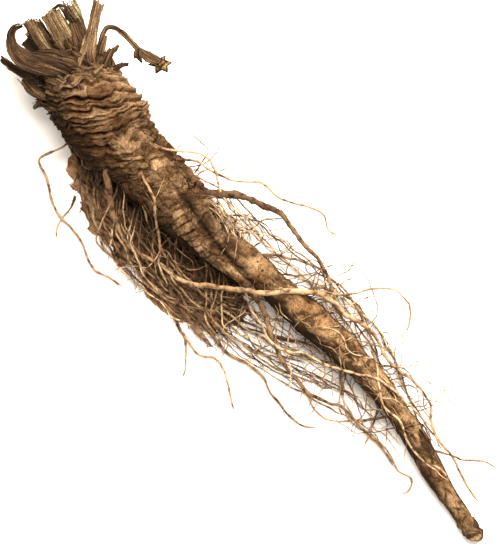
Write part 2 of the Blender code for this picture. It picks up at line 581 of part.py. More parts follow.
def make_scrap(collection):
    """The jagged, curled scrap of leaf, as a flat outline with thickness, bent a little."""
    draw = random.Random(SCRAP_SEED)
    curve = bpy.data.curves.new("leaf_scrap", "CURVE")
    curve.dimensions = "2D"
    curve.fill_mode = "BOTH"
    curve.extrude = SCRAP_THICKNESS / 2 * MM
    spline = curve.splines.new("POLY")
    spline.points.add(2 * SCRAP_POINTS - 1)
    spline.use_cyclic_u = True
    for i, point in enumerate(spline.points):
        turn = math.pi * i / SCRAP_POINTS + draw.uniform(-0.12, 0.12)
        reach = SCRAP_REACH[1] * draw.uniform(0.75, 1.0) if i % 2 else SCRAP_REACH[0]
        point.co = (reach * math.cos(turn) * MM, reach * math.sin(turn) * MM, 0.0, 1.0)
    obj = bpy.data.objects.new("leaf_scrap", curve)
    collection.objects.link(obj)
    obj.location = (Vector(SCRAP_CENTRE) - ORIGIN) * MM
    obj.rotation_euler = (math.radians(SCRAP_LEAN_DEG[0]), math.radians(SCRAP_LEAN_DEG[1]), 0)
    return to_mesh(obj, collection)


def make_stalks(root, collection):
    """Every leaf stalk in its own socket in the crown, clear of the root all round."""
    sockets = helper_collection("sockets")
    stalks = {}
    for seed, (name, spec) in enumerate(STALKS.items()):
        stalks[name] = stalk_shape(name, spec, 0.0, collection)
        tear_end(stalks[name], spec, seed)
        stalk_shape(name + "_socket", spec, SOCKET_GAP, sockets)
    boolean(root, "DIFFERENCE", sockets)
    keep_largest(root)
    scrap = helper_collection("scrap")
    make_scrap(scrap)
    boolean(stalks["stalk_hooked"], "UNION", scrap)
    return stalks


def flatten_underside(obj):
    """Cuts away what lies below the resting plane."""
    below = helper_collection("below_rest")
    bpy.ops.mesh.primitive_cube_add(size=1.0)
    block = bpy.context.active_object
    block.name = "below_rest_block"
    block.scale = Vector(REST_CUTTER) * MM
    block.location = (0.0, 0.0, (REST_HEIGHT - REST_CUTTER[2] / 2) * MM)
    bpy.ops.object.transform_apply(location=False, rotation=False, scale=True)
    for owner in list(block.users_collection):
        owner.objects.unlink(block)
    below.objects.link(block)
    boolean(obj, "DIFFERENCE", below)


def dress(obj, material_name):
    """Gives an object its one material and shades it smooth up to a sharp angle."""
    obj.data.materials.clear()
    obj.data.materials.append(finish(material_name))
    obj.data.shade_smooth()
    obj.data.set_sharp_from_angle(angle=math.radians(40))


def main():
    """Builds the root and its leaf stalks in one collection."""
    clear_scene()
    collection = bpy.data.collections.new("dandelion_root")
    bpy.context.scene.collection.children.link(collection)
    root = make_root(collection)
    stalks = make_stalks(root, collection)
    flatten_underside(root)
    dress(root, "root_bark")
    for name, obj in stalks.items():
        dress(obj, "withered_leaf" if name in WITHERED else "leaf_stalk")


main()
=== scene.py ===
"""Looks of a dried dandelion root that lies on a pale floor, seen from above.

Lengths are millimetres in the root's own layout, with +X from the crown to the tip, +Y across and
+Z up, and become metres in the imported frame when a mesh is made.
"""

from __future__ import annotations

import logging
import math
import random
from dataclasses import dataclass, field, replace
from enum import Enum
from typing import Any, Sequence

import bmesh
import bpy
import numpy as np
from mathutils import Matrix, Vector

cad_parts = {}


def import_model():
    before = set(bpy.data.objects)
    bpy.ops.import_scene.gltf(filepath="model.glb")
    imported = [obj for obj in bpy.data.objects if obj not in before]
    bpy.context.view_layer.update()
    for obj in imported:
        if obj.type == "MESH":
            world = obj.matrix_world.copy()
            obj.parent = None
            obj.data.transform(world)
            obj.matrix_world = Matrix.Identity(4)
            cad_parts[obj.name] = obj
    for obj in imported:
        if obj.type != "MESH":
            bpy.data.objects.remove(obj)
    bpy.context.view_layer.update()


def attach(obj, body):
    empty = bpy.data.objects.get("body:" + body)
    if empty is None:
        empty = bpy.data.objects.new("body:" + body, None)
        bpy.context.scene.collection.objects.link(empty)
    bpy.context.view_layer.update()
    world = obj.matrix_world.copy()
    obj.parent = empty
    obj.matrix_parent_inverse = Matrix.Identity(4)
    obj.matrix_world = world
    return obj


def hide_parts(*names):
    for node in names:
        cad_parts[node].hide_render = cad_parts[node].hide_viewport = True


LOG = logging.getLogger("dandelion_root")
MM = 0.001
ORIGIN = np.array([-4.1, -3.05, 0.0])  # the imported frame's origin, in the root's layout
Row = tuple[float, ...]  # one row of a table of places, sizes or waves
Zone = tuple[float, float, float, float]  # along the root: where it starts, is whole, fades and has gone
UP = np.array([0.0, 0.0, 1.0])
TURN = 2 * math.pi
LOW = (-98.0, -33.3, 0.0)  # the box that rootlets, stalks and fibres stay in
HIGH = (90.0, 27.0, 23.4)


class Slot(Enum):
    """The record's material slots."""

    BARK = "root_bark"
    STALK = "leaf_stalk"
    WITHERED = "withered_leaf"


def linear(hex_colour: str) -> tuple[float, float, float, float]:
    """Turns an sRGB hex colour to linear numbers.

    Args:
        hex_colour: Six hex digits after a hash.

    Returns:
        Red, green, blue and alpha.
    """
    shares = [int(hex_colour[i : i + 2], 16) / 255 for i in (1, 3, 5)]
    red, green, blue = (c / 12.92 if c <= 0.04045 else ((c + 0.055) / 1.055) ** 2.4 for c in shares)
    return red, green, blue, 1.0


def smoothstep(low: float, high: float, x: Any) -> Any:
    """Eases from 0 below low to 1 above high.

    Args:
        low: Where it starts to rise.
        high: Where it is whole.
        x: A number or an array.

    Returns:
        The eased share.
    """
    t = np.clip((x - low) / (high - low), 0.0, 1.0)
    return t * t * (3 - 2 * t)


def smooth_route(rows: Any, count: int) -> np.ndarray:
    """Reads points from a Catmull-Rom curve through rows.

    Args:
        rows: The route's own points, with any further values beside them.
        count: How many points to read.

    Returns:
        The points, evenly spaced between the rows.
    """
    known = np.asarray(rows, float)
    known = np.vstack([2 * known[0] - known[1], known, 2 * known[-1] - known[-2]])
    t = np.linspace(0, len(known) - 3, count)
    i = np.minimum(t.astype(int), len(known) - 4)
    u = (t - i)[:, None]
    a, b, c, d = (known[i + k] for k in range(4))
    return 0.5 * (2 * b + (c - a) * u + (2 * a - 5 * b + 4 * c - d) * u**2 + (3 * b - a - 3 * c + d) * u**3)


def dense_route(rows: Any, gap: float) -> np.ndarray:
    """The same curve with a point about every gap millimetres.

    Args:
        rows: The route's own points, starting with along, across and height.
        gap: Distance between points.

    Returns:
        The points.
    """
    known = np.asarray(rows, float)
    return smooth_route(known, max(len(known), int(lengths_along(known[:, :3])[-1] / gap) + 1))


class Noise:
    """Smooth noise on a lattice, from -1 to 1, the same on every run."""

    CELLS = 1 << 14
    PRIMES = (73856093, 19349663, 83492791)

    def __init__(self, seed: int) -> None:
        """Draws the lattice's values.

        Args:
            seed: Which noise this is.
        """
        self.values = np.random.default_rng(seed).uniform(-1.0, 1.0, self.CELLS)

    def at(self, x: Any, y: Any, z: Any = 0.0) -> np.ndarray:
        """Reads the noise at points given in units of its lattice.

        Args:
            x: First coordinate.
            y: Second coordinate.
            z: Third coordinate.

        Returns:
            A value for each point.
        """
        spots = np.broadcast_arrays(np.asarray(x, float), np.asarray(y, float), np.asarray(z, float))
        cells = [np.floor(c).astype(np.int64) for c in spots]
        eased = [(c - k) ** 2 * (3 - 2 * (c - k)) for c, k in zip(spots, cells)]
        total = np.zeros(spots[0].shape)
        for corner in np.ndindex(2, 2, 2):
            weight = np.ones(spots[0].shape)
            key = np.zeros(spots[0].shape, np.int64)
            for far, cell, share, prime in zip(corner, cells, eased, self.PRIMES):
                weight = weight * (share if far else 1 - share)
                key = key ^ ((cell + far) * prime)
            total += weight * self.values[(key ^ (key >> 13)) & (self.CELLS - 1)]
        return total

    def rough(self, x: Any, y: Any, z: Any = 0.0, octaves: int = 3) -> np.ndarray:
        """Sums noise at finer and finer scales.

        Args:
            x: First coordinate.
            y: Second coordinate.
            z: Third coordinate.
            octaves: How many scales.

        Returns:
            A value for each point, mostly from -1 to 1.
        """
        total = sum(0.5**k * self.at(x * 2.1**k + 7 * k, y * 2.1**k, z * 2.1**k) for k in range(octaves))
        return np.asarray(total)


@dataclass
class Shape:
    """The points, faces and per-point values of one piece while it is built."""

    points: list[np.ndarray] = field(default_factory=list)
    faces: list[np.ndarray] = field(default_factory=list)
    values: dict[str, list[np.ndarray]] = field(default_factory=dict)
    count: int = 0

    def add(self, points: np.ndarray, faces: Sequence[np.ndarray], **values: Any) -> None:
        """Adds a closed mesh.

        Args:
            points: Its points, in millimetres.
            faces: Blocks of faces with the same number of corners.
            values: Named values for each point, or one for all of them.
        """
        self.points.append(points)
        self.faces += [block + self.count for block in faces]
        for key, value in values.items():
            array = np.asarray(value, float)
            if array.ndim == 0:
                array = np.full(len(points), float(array))
            self.values.setdefault(key, []).append(array)
        self.count += len(points)

    def build(self, name: str, material: bpy.types.Material, slot: Slot, *nodes: str) -> bpy.types.Object:
        """Makes the Blender object and hangs it on the frame.

        Args:
            name: The piece's name.
            material: Its finish.
            slot: The record's slot that the finish belongs to. It is not used.
            nodes: The CAD nodes that it stands for.

        Returns:
            The object.
        """
        mesh = bpy.data.meshes.new(name)
        points = (np.vstack(self.points) - ORIGIN) * MM
        mesh.from_pydata(points.tolist(), [], [row for block in self.faces for row in block.tolist()])
        for key, parts in self.values.items():
            kind, field_name = ("FLOAT", "value") if parts[0].ndim == 1 else ("FLOAT_VECTOR", "vector")
            layer = mesh.attributes.new(key, kind, "POINT")
            layer.data.foreach_set(field_name, np.concatenate(parts).astype(np.float32).ravel())
        mesh.shade_smooth()
        mesh.materials.append(material)
        piece = bpy.data.objects.new(name, mesh)
        bpy.context.scene.collection.objects.link(piece)
        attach(piece, "root")
        if nodes:
            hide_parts(*nodes)
        LOG.info("%s: %d points, %d faces", name, len(mesh.vertices), len(mesh.polygons))
        return piece


def frames_along(path: np.ndarray) -> tuple[np.ndarray, np.ndarray, np.ndarray]:
    """Finds which way a path runs, and its sideways and upward directions.

    Args:
        path: Points along it.

    Returns:
        Unit vectors forward, sideways and upward, one of each for each point.
    """
    forward = np.gradient(path, axis=0)
    forward /= np.maximum(np.linalg.norm(forward, axis=1, keepdims=True), 1e-9)
    side = np.cross(UP + 1e-3, forward)
    side /= np.maximum(np.linalg.norm(side, axis=1, keepdims=True), 1e-9)
    return forward, side, np.cross(forward, side)


def tilted(side: np.ndarray, lift: np.ndarray, degrees: np.ndarray) -> tuple[np.ndarray, np.ndarray]:
    """Turns sideways and upward directions about a path by so many degrees at each of its points."""
    tilt = np.radians(degrees)[:, None]
    return np.cos(tilt) * side + np.sin(tilt) * lift, -np.sin(tilt) * side + np.cos(tilt) * lift


def lengths_along(path: np.ndarray) -> np.ndarray:
    """How far along a path each of its points lies."""
    return np.concatenate([[0.0], np.cumsum(np.linalg.norm(np.diff(path, axis=0), axis=1))])


def ring_faces(rings: int, sides: int) -> list[np.ndarray]:
    """Faces of a closed tube whose points come ring by ring, then its two end points.

    Args:
        rings: How many rings.
        sides: Points in each ring.

    Returns:
        A block of quads and a block of triangles.
    """
    ring, side = np.meshgrid(np.arange(rings - 1), np.arange(sides), indexing="ij")
    here, after = ring * sides, (ring + 1) * sides
    beside = (side + 1) % sides
    quads = np.stack([here + side, here + beside, after + beside, after + side], axis=-1).reshape(-1, 4)
    around = np.arange(sides)
    onward = (around + 1) % sides
    last = (rings - 1) * sides
    start = np.column_stack([np.full(sides, rings * sides), onward, around])
    end = np.column_stack([np.full(sides, rings * sides + 1), last + around, last + onward])
    return [quads, np.vstack([start, end])]


def sweep(path: np.ndarray, outlines: np.ndarray, side: np.ndarray, lift: np.ndarray) -> np.ndarray:
    """Places outlines along a path.

    Args:
        path: The middle of each outline.
        outlines: Sideways and upward offsets, for each ring and each of its points.
        side: Sideways unit vectors.
        lift: Upward unit vectors.

    Returns:
        The points ring by ring, then the middle of the first ring and of the last.
    """
    rings = path[:, None, :] + outlines[..., :1] * side[:, None, :] + outlines[..., 1:] * lift[:, None, :]
    ends = np.array([rings[0].mean(axis=0), rings[-1].mean(axis=0)])
    return np.vstack([rings.reshape(-1, 3), ends])


@dataclass(frozen=True)
class Stop:
    """A colour in a run of colours, and where it stands from 0 to 1."""

    place: float
    colour: str


def run(*colours: str, at: Row = (0.0, 0.35, 0.7, 1.0)) -> tuple[Stop, ...]:
    """A run of colours from dark to light, with the place of each."""
    return tuple(Stop(place, colour) for place, colour in zip(at, colours, strict=True))


def add_node(tree: Any, kind: str, inputs: dict[Any, Any] | None = None, **settings: Any) -> Any:
    """Adds one shader node.

    Args:
        tree: The material's node tree.
        kind: Blender's name for the node's type.
        inputs: Values or sockets for its inputs, by name or by number.
        settings: Its other settings. stops gives a colour ramp its colours.

    Returns:
        The node.
    """
    made = tree.nodes.new(kind)
    stops = settings.pop("stops", ())
    for key, value in settings.items():
        setattr(made, key, value)
    for key, value in (inputs or {}).items():
        if isinstance(value, bpy.types.NodeSocket):
            tree.links.new(value, made.inputs[key])
        else:
            made.inputs[key].default_value = value
    for i, stop in enumerate(stops):
        ramp = made.color_ramp.elements
        element = ramp[i] if i < 2 else ramp.new(stop.place)
        element.position = stop.place
        element.color = linear(stop.colour)
    return made


MIX_A, MIX_B, MIX_OUT = 6, 7, 2  # a colour Mix node's two colours and its result


def per_metre(size_mm: float) -> float:
    """The scale of a pattern whose features are this many millimetres across."""
    return 1 / (size_mm * MM)


@dataclass(frozen=True)
class Finish:
    """What every finish has: a name, a way to be made once, and the steps that the finishes share."""

    name: str

    def material(self) -> bpy.types.Material:
        """The finish's material, made when it is first asked for."""
        found = bpy.data.materials.get(self.name)
        if found is None:
            found = bpy.data.materials.new(self.name)
            found.use_nodes = True
            self.paint(found.node_tree, found.node_tree.nodes["Principled BSDF"])
        return found

    def paint(self, tree: Any, shader: Any) -> None:
        """Sets the shader. Each finish has its own."""
        raise NotImplementedError

    def darkened(self, tree: Any, colour: Any, *patterns: tuple[Any, float, float, str]) -> Any:
        """Darkens a colour wherever a pattern is low.

        Args:
            tree: The node tree.
            colour: The colour's socket.
            patterns: Each pattern's socket, its darkest and its first clear value, and its colour.

        Returns:
            The new colour's socket.
        """
        for pattern, dark, clear, tint in patterns:
            stops = (Stop(dark, tint), Stop(clear, "#ffffff"))
            shade = add_node(tree, "ShaderNodeValToRGB", {"Fac": pattern}, stops=stops).outputs["Color"]
            inputs = {0: 1.0, MIX_A: colour, MIX_B: shade}
            mixed = add_node(tree, "ShaderNodeMix", inputs, data_type="RGBA", blend_type="MULTIPLY")
            colour = mixed.outputs[MIX_OUT]
        return colour

    def covered(self, tree: Any, colour: Any, *covers: tuple[Any, str]) -> Any:
        """Lays further colours over a colour.

        Args:
            tree: The node tree.
            colour: The colour's socket.
            covers: The socket of each cover's share, and its colour.

        Returns:
            The new colour's socket.
        """
        for share, cover in covers:
            inputs = {0: share, MIX_A: colour, MIX_B: linear(cover)}
            colour = add_node(tree, "ShaderNodeMix", inputs, data_type="RGBA").outputs[MIX_OUT]
        return colour

    def close(
        self, tree: Any, shader: Any, colour: Any, roughness: float, gloss: float, *dents: tuple[Any, ...]
    ) -> None:
        """Gives the shader its colour and gloss, and presses patterns into its surface.

        Args:
            tree: The node tree.
            shader: Its Principled shader.
            colour: The colour's socket.
            roughness: The shader's roughness.
            gloss: Its specular level.
            dents: Each pattern's socket, its strength and its depth in millimetres.
        """
        tree.links.new(colour, shader.inputs["Base Color"])
        shader.inputs["Roughness"].default_value = roughness
        shader.inputs["Specular IOR Level"].default_value = gloss
        inputs: dict[Any, Any] = {}
        for height, strength, depth_mm in dents:
            inputs |= {"Height": height, "Strength": strength, "Distance": depth_mm * MM}
            inputs["Normal"] = add_node(tree, "ShaderNodeBump", inputs).outputs["Normal"]
        if dents:
            tree.links.new(inputs["Normal"], shader.inputs["Normal"])


@dataclass(frozen=True)
class RootBark(Finish):
    """Dried root bark: it wrinkled as it shrank; its creases are painted dark as shade, its crests are paler,
    partly worn and partly painted highlight, and soil covers it in places.
    """

    crests: tuple[Stop, ...]
    pale: str
    soil: str
    roughness: float = 0.86
    stain_mm: float = 5.5
    blotch_mm: float = 7.0
    mottle_mm: float = 1.3
    grain_mm: float = 0.35

    def paint(self, tree: Any, shader: Any) -> None:
        """Mixes the bark's colours by crest, blotch and soil, and roughens it.

        Args:
            tree: The node tree.
            shader: Its Principled shader.
        """
        place = add_node(tree, "ShaderNodeTexCoord").outputs["Object"]
        crest, pale, soil, tone, stained = (
            add_node(tree, "ShaderNodeAttribute", attribute_name=name).outputs["Fac"]
            for name in ("crest", "pale", "soil", "tone", "stained")
        )
        blotch, mottle, grain, spots = (
            add_node(
                tree, "ShaderNodeTexNoise", {"Vector": place, "Scale": per_metre(size), **more}
            ).outputs["Fac"]
            for size, more in (
                (self.blotch_mm, {"Detail": 4.0}),
                (self.mottle_mm, {"Detail": 5.0, "Roughness": 0.65}),
                (self.grain_mm, {"Detail": 3.0}),
                (self.stain_mm, {"Detail": 8.0, "Roughness": 0.68, "Distortion": 0.6}),
            )
        )
        # The crest value paints the creases nearly black as shade and the crests tan, partly as painted
        # highlight
        colour = add_node(tree, "ShaderNodeValToRGB", {"Fac": crest}, stops=self.crests).outputs["Color"]
        colour = self.darkened(
            tree, self.covered(tree, colour, (pale, self.pale)), (blotch, 0.36, 0.56, "#b3a08f"),
            (mottle, 0.34, 0.5, "#b5a697"), (grain, 0.32, 0.6, "#b0a498"), (tone, 0.0, 0.8, "#a5978a"),
        )
        inputs = {"Value": spots, "From Min": 0.49, "From Max": 0.54}  # gives the stains a clear edge
        edged = add_node(tree, "ShaderNodeMapRange", inputs).outputs["Result"]
        edged_stain = add_node(tree, "ShaderNodeMath", {0: edged, 1: stained}, operation="MULTIPLY")
        # The soil value lays the soil colour where soil lies, and also as painted shade on the shaded flanks
        # and in the groove
        colour = self.covered(tree, colour, (soil, self.soil), (edged_stain.outputs["Value"], self.soil))
        self.close(tree, shader, colour, self.roughness, 0.06, (mottle, 0.55, 0.35), (grain, 0.7, 0.16))


@dataclass(frozen=True)
class RootletSkin(Finish):
    """Thin dried rootlets: smoother than the bark, each with its own tone."""

    tones: tuple[Stop, ...]
    roughness: float = 0.7
    streak_mm: float = 1.6
    grain_mm: float = 0.25

    def paint(self, tree: Any, shader: Any) -> None:
        """Colours each rootlet by its tone, with darker stretches along it.

        Args:
            tree: The node tree.
            shader: Its Principled shader.
        """
        place = add_node(tree, "ShaderNodeTexCoord").outputs["Object"]
        # The tone also carries painted shade: near the body's underside, at each rootlet's start and low down
        tone = add_node(tree, "ShaderNodeAttribute", attribute_name="tone").outputs["Fac"]
        colour = add_node(tree, "ShaderNodeValToRGB", {"Fac": tone}, stops=self.tones).outputs["Color"]
        streak, grain = (
            add_node(
                tree, "ShaderNodeTexNoise", {"Vector": place, "Scale": per_metre(size), "Detail": detail}
            ).outputs["Fac"]
            for size, detail in ((self.streak_mm, 4.0), (self.grain_mm, 2.0))
        )
        colour = self.darkened(tree, colour, (streak, 0.36, 0.56, "#786a5d"))
        self.close(tree, shader, colour, self.roughness, 0.15, (grain, 0.5, 0.08))


@dataclass(frozen=True)
class Straw(Finish):
    """Dry leaf stalk: long stiff fibres, pale on the ribs and brown between them."""

    ribs: tuple[Stop, ...]
    stain: str
    roughness: float = 0.62
    speck_mm: float = 0.4
    fibre_mm: float = 0.28
    run_mm: float = 7.0

    def paint(self, tree: Any, shader: Any) -> None:
        """Draws fibres along the stalk, by the piece's own lengthwise coordinates, which are millimetres.

        Args:
            tree: The node tree.
            shader: Its Principled shader.
        """
        fibre = add_node(tree, "ShaderNodeAttribute", attribute_name="fibre").outputs["Vector"]
        rib, stain = (
            add_node(tree, "ShaderNodeAttribute", attribute_name=name).outputs["Fac"]
            for name in ("rib", "stain")
        )
        inputs = {"Vector": fibre, "Scale": (1 / self.fibre_mm, 1 / self.run_mm, 1.0)}
        lengthwise = add_node(tree, "ShaderNodeMapping", inputs).outputs["Vector"]
        strands, speck = (
            add_node(tree, "ShaderNodeTexNoise", {"Vector": vector, "Scale": scale, **more}).outputs["Fac"]
            for vector, scale, more in (
                (lengthwise, 1.0, {"Detail": 4.0, "Roughness": 0.6}),
                (fibre, 1 / self.speck_mm, {"Detail": 3.0}),
            )
        )
        colour = add_node(tree, "ShaderNodeValToRGB", {"Fac": rib}, stops=self.ribs).outputs["Color"]
        colour = self.darkened(tree, colour, (strands, 0.4, 0.6, "#64584b"), (speck, 0.34, 0.52, "#93877a"))
        colour = self.covered(tree, colour, (stain, self.stain))
        self.close(tree, shader, colour, self.roughness, 0.08, (strands, 0.7, 0.15))


@dataclass(frozen=True)
class Crumb(Finish):
    """Crumbly matter, such as dry soil or stalk pith: matt grains, each with its own tone."""

    tones: tuple[Stop, ...]
    roughness: float = 0.95
    grain_mm: float = 0.3

    def paint(self, tree: Any, shader: Any) -> None:
        """Colours each crumb by its tone and roughens it.

        Args:
            tree: The node tree.
            shader: Its Principled shader.
        """
        place = add_node(tree, "ShaderNodeTexCoord").outputs["Object"]
        tone = add_node(tree, "ShaderNodeAttribute", attribute_name="tone").outputs["Fac"]
        colour = add_node(tree, "ShaderNodeValToRGB", {"Fac": tone}, stops=self.tones).outputs["Color"]
        inputs = {"Vector": place, "Scale": per_metre(self.grain_mm), "Detail": 3.0}
        grain = add_node(tree, "ShaderNodeTexNoise", inputs).outputs["Fac"]
        self.close(tree, shader, colour, self.roughness, 0.03, (grain, 0.8, 0.2))


@dataclass(frozen=True)
class PaintedBoard(Finish):
    """The studio floor: matt white board with the faintest unevenness."""

    colour: str
    shade: str
    roughness: float = 0.9
    cloud_mm: float = 90.0

    def paint(self, tree: Any, shader: Any) -> None:
        """Sets a matt, nearly even white.

        Args:
            tree: The node tree.
            shader: Its Principled shader.
        """
        place = add_node(tree, "ShaderNodeTexCoord").outputs["Object"]
        inputs = {"Vector": place, "Scale": per_metre(self.cloud_mm), "Detail": 2.0}
        cloud = add_node(tree, "ShaderNodeTexNoise", inputs).outputs["Fac"]
        stops = (Stop(0.3, self.shade), Stop(0.7, self.colour))
        colour = add_node(tree, "ShaderNodeValToRGB", {"Fac": cloud}, stops=stops).outputs["Color"]
        self.close(tree, shader, colour, self.roughness, 0.1)


# Bark dried on the root: matt, tan on the crests and nearly black in the creases, where the dark is painted
# shade
BARK = RootBark(
    "dried_root_bark",
    crests=run("#120904", "#3b2614", "#6d553b", "#9b8266", at=(0.0, 0.25, 0.55, 1.0)),
    pale="#ba9d77",
    soil="#24190f",
)
# Rootlets dried in the air: a thin smooth skin, from dark brown to straw
ROOTLET = RootletSkin(
    "dried_rootlet",
    tones=run("#271a11", "#614833", "#947859", "#c3ab8c"),
)
# Leaf stalk bleached as it dried: pale, with a faint silk on its ribs
PALE_STRAW = Straw(
    "pale_leaf_straw",
    ribs=run("#211710", "#4d3a26", "#7b6548", "#aa9979"),
    stain="#302217",
)
# Flower stalk dried while green: olive, with a pale cut rim
GREEN_STRAW = Straw(
    "greenish_flower_straw",
    ribs=run("#332a1a", "#65593a", "#918862", "#bbb28e", at=(0.0, 0.4, 0.75, 1.0)),
    stain="#37291a",
)
# Leaf bases and lower stalks: a darker tan copy of the straw, painted shade for pieces that lie in the shade
# of the others, dull between the fibres
SHADED_TAN_STRAW = Straw(
    "shaded_tan_leaf_base",
    ribs=run("#18100a", "#3f2d1c", "#685037", "#907655"),
    stain="#281e17",
)
# Outer leaf stalk, reddish when fresh: a warm, pinkish straw
ROSY_STRAW = Straw(
    "rosy_stalk_straw",
    ribs=run("#261a11", "#5b442e", "#886f52", "#b79d7c"),
    stain="#3b291c",
)
# Old leaf base, weathered: grey brown, coarse, with dark gaps between its fibres
SCROLL_STRAW = Straw(
    "grey_leaf_base_fibre",
    ribs=run("#0f0803", "#302113", "#5e462e", "#856a4a"),
    stain="#1f1712",
)
# Thin stalk that shrank hard: dark olive with lighter edges
HOOK_STRAW = Straw(
    "olive_stalk_straw",
    ribs=run("#120b06", "#38281a", "#6c553b", "#a3875f"),
    stain="#281d14",
)
# Rotted and dried leaf skin: dark and dull
WITHERED_LEAF = Straw(
    "withered_leaf_skin",
    ribs=run("#170e08", "#372719", "#5d4630", "#836949"),
    stain="#251911",
    roughness=0.75,
)
# Soil dried on the bark: dark grains with no gloss
SOIL = Crumb(
    "dry_soil",
    tones=run("#110c07", "#2c2013", "#57442e", at=(0.0, 0.5, 1.0)),
)
# Stalk pith, torn by the cut: small pale crumbs
PITH = Crumb(
    "stalk_pith",
    tones=run("#2c2013", "#6a5634", "#9c8c66", at=(0.0, 0.5, 1.0)),
)
# Root hairs felted with soil, a flat brown nap, that also stands in as painted shadow under the root
HAIR_AND_SHADOW_MAT = Crumb(
    "matted_root_hair_and_shadow",
    tones=run("#23180f", "#7a5c42", "#c4a07a", at=(0.0, 0.5, 1.0)),
)
# Board with a coat of matt white paint: no shine and hardly any tone
BOARD = PaintedBoard("white_board", "#fdfcfb", "#f9f8f7")


def lobed(rows: Sequence[Row], along: Any, turn: Any) -> Any:
    """Sums waves round the axis, each drifting along it.

    Args:
        rows: Each wave's size, number of lobes, start and drift.
        along: Place along the axis.
        turn: Angle round it.

    Returns:
        The sum at each place.
    """
    return sum(size * np.sin(lobes * turn + start + drift * along) for size, lobes, start, drift in rows)


def tiled(place: Any) -> Any:
    """Profile of sheets that lie over one another like roof tiles.

    Args:
        place: Place across the sheets, counted in sheets.

    Returns:
        Height from 0 to 1: it rises slowly, then drops.
    """
    share = place % 1.0
    return share**0.6 * (1 - smoothstep(0.82, 1.0, share))


def within(zone: Zone, along: Any) -> Any:
    """1 inside a zone, fading to 0 over its two ends."""
    rise, whole, fade, gone = zone
    return smoothstep(rise, whole, along) * (1 - smoothstep(fade, gone, along))


def bell(middle: float, width: float, x: Any) -> Any:
    """1 at the middle, fading to 0 on both sides of it."""
    return np.exp(-(((x - middle) / width) ** 2))


@dataclass
class Plates:
    """What a cracked, plated bark is like at each place."""

    height: np.ndarray  # the plate's own height, from -1 to 1
    lean: np.ndarray  # the height that the plate's tilt gives the place, from -1 to 1
    tone: np.ndarray  # the plate's own tone, from 0 to 1


def plates_at(u: np.ndarray, v: np.ndarray, around: int, seed: int) -> Plates:
    """Divides a tube's surface into irregular plates.

    Args:
        u: Place along the tube, in plates.
        v: Place round it, in plates.
        around: How many plates go round it.
        seed: Which pattern this is.

    Returns:
        The plates at each place.
    """
    table = np.random.default_rng(seed).uniform(0.0, 1.0, (4096, 5))
    column, row = np.floor(u).astype(np.int64), np.floor(v).astype(np.int64)
    nearest = np.full(u.shape, np.inf)
    own = np.zeros((*u.shape, 5))
    offset = np.zeros(u.shape)
    for i in (-1, 0, 1):
        for j in (-1, 0, 1):
            key = ((column + i) * Noise.PRIMES[0]) ^ (((row + j) % around) * Noise.PRIMES[1])
            draw = table[(key ^ (key >> 11)) & 4095]
            across = u - (column + i + 0.5 + 0.8 * (draw[..., 0] - 0.5))
            away = np.hypot(across, v - (row + j + 0.5 + 0.8 * (draw[..., 1] - 0.5)))
            closer = away < nearest
            own = np.where(closer[..., None], draw, own)
            offset = np.where(closer, across, offset)
            nearest = np.where(closer, away, nearest)
    return Plates(2 * own[..., 2] - 1, 2 * offset * (own[..., 3] - 0.2), own[..., 4])


@dataclass(frozen=True)
class Spots:
    """Places on the taproot: how far along it, which way from its axis in radians, and its radius there."""

    along: Any
    turn: Any
    radius: Any

    def section(self) -> tuple[Any, Any]:
        """Across and upward of each place, from the axis."""
        return self.radius * np.cos(self.turn), self.radius * np.sin(self.turn)

    def offset(self, along: float, turn_deg: float) -> tuple[Any, Any]:
        """How far along and round the root each place lies from one place, in millimetres."""
        arc = (self.turn - math.radians(turn_deg) + math.pi) % TURN - math.pi
        return self.along - along, arc * self.radius


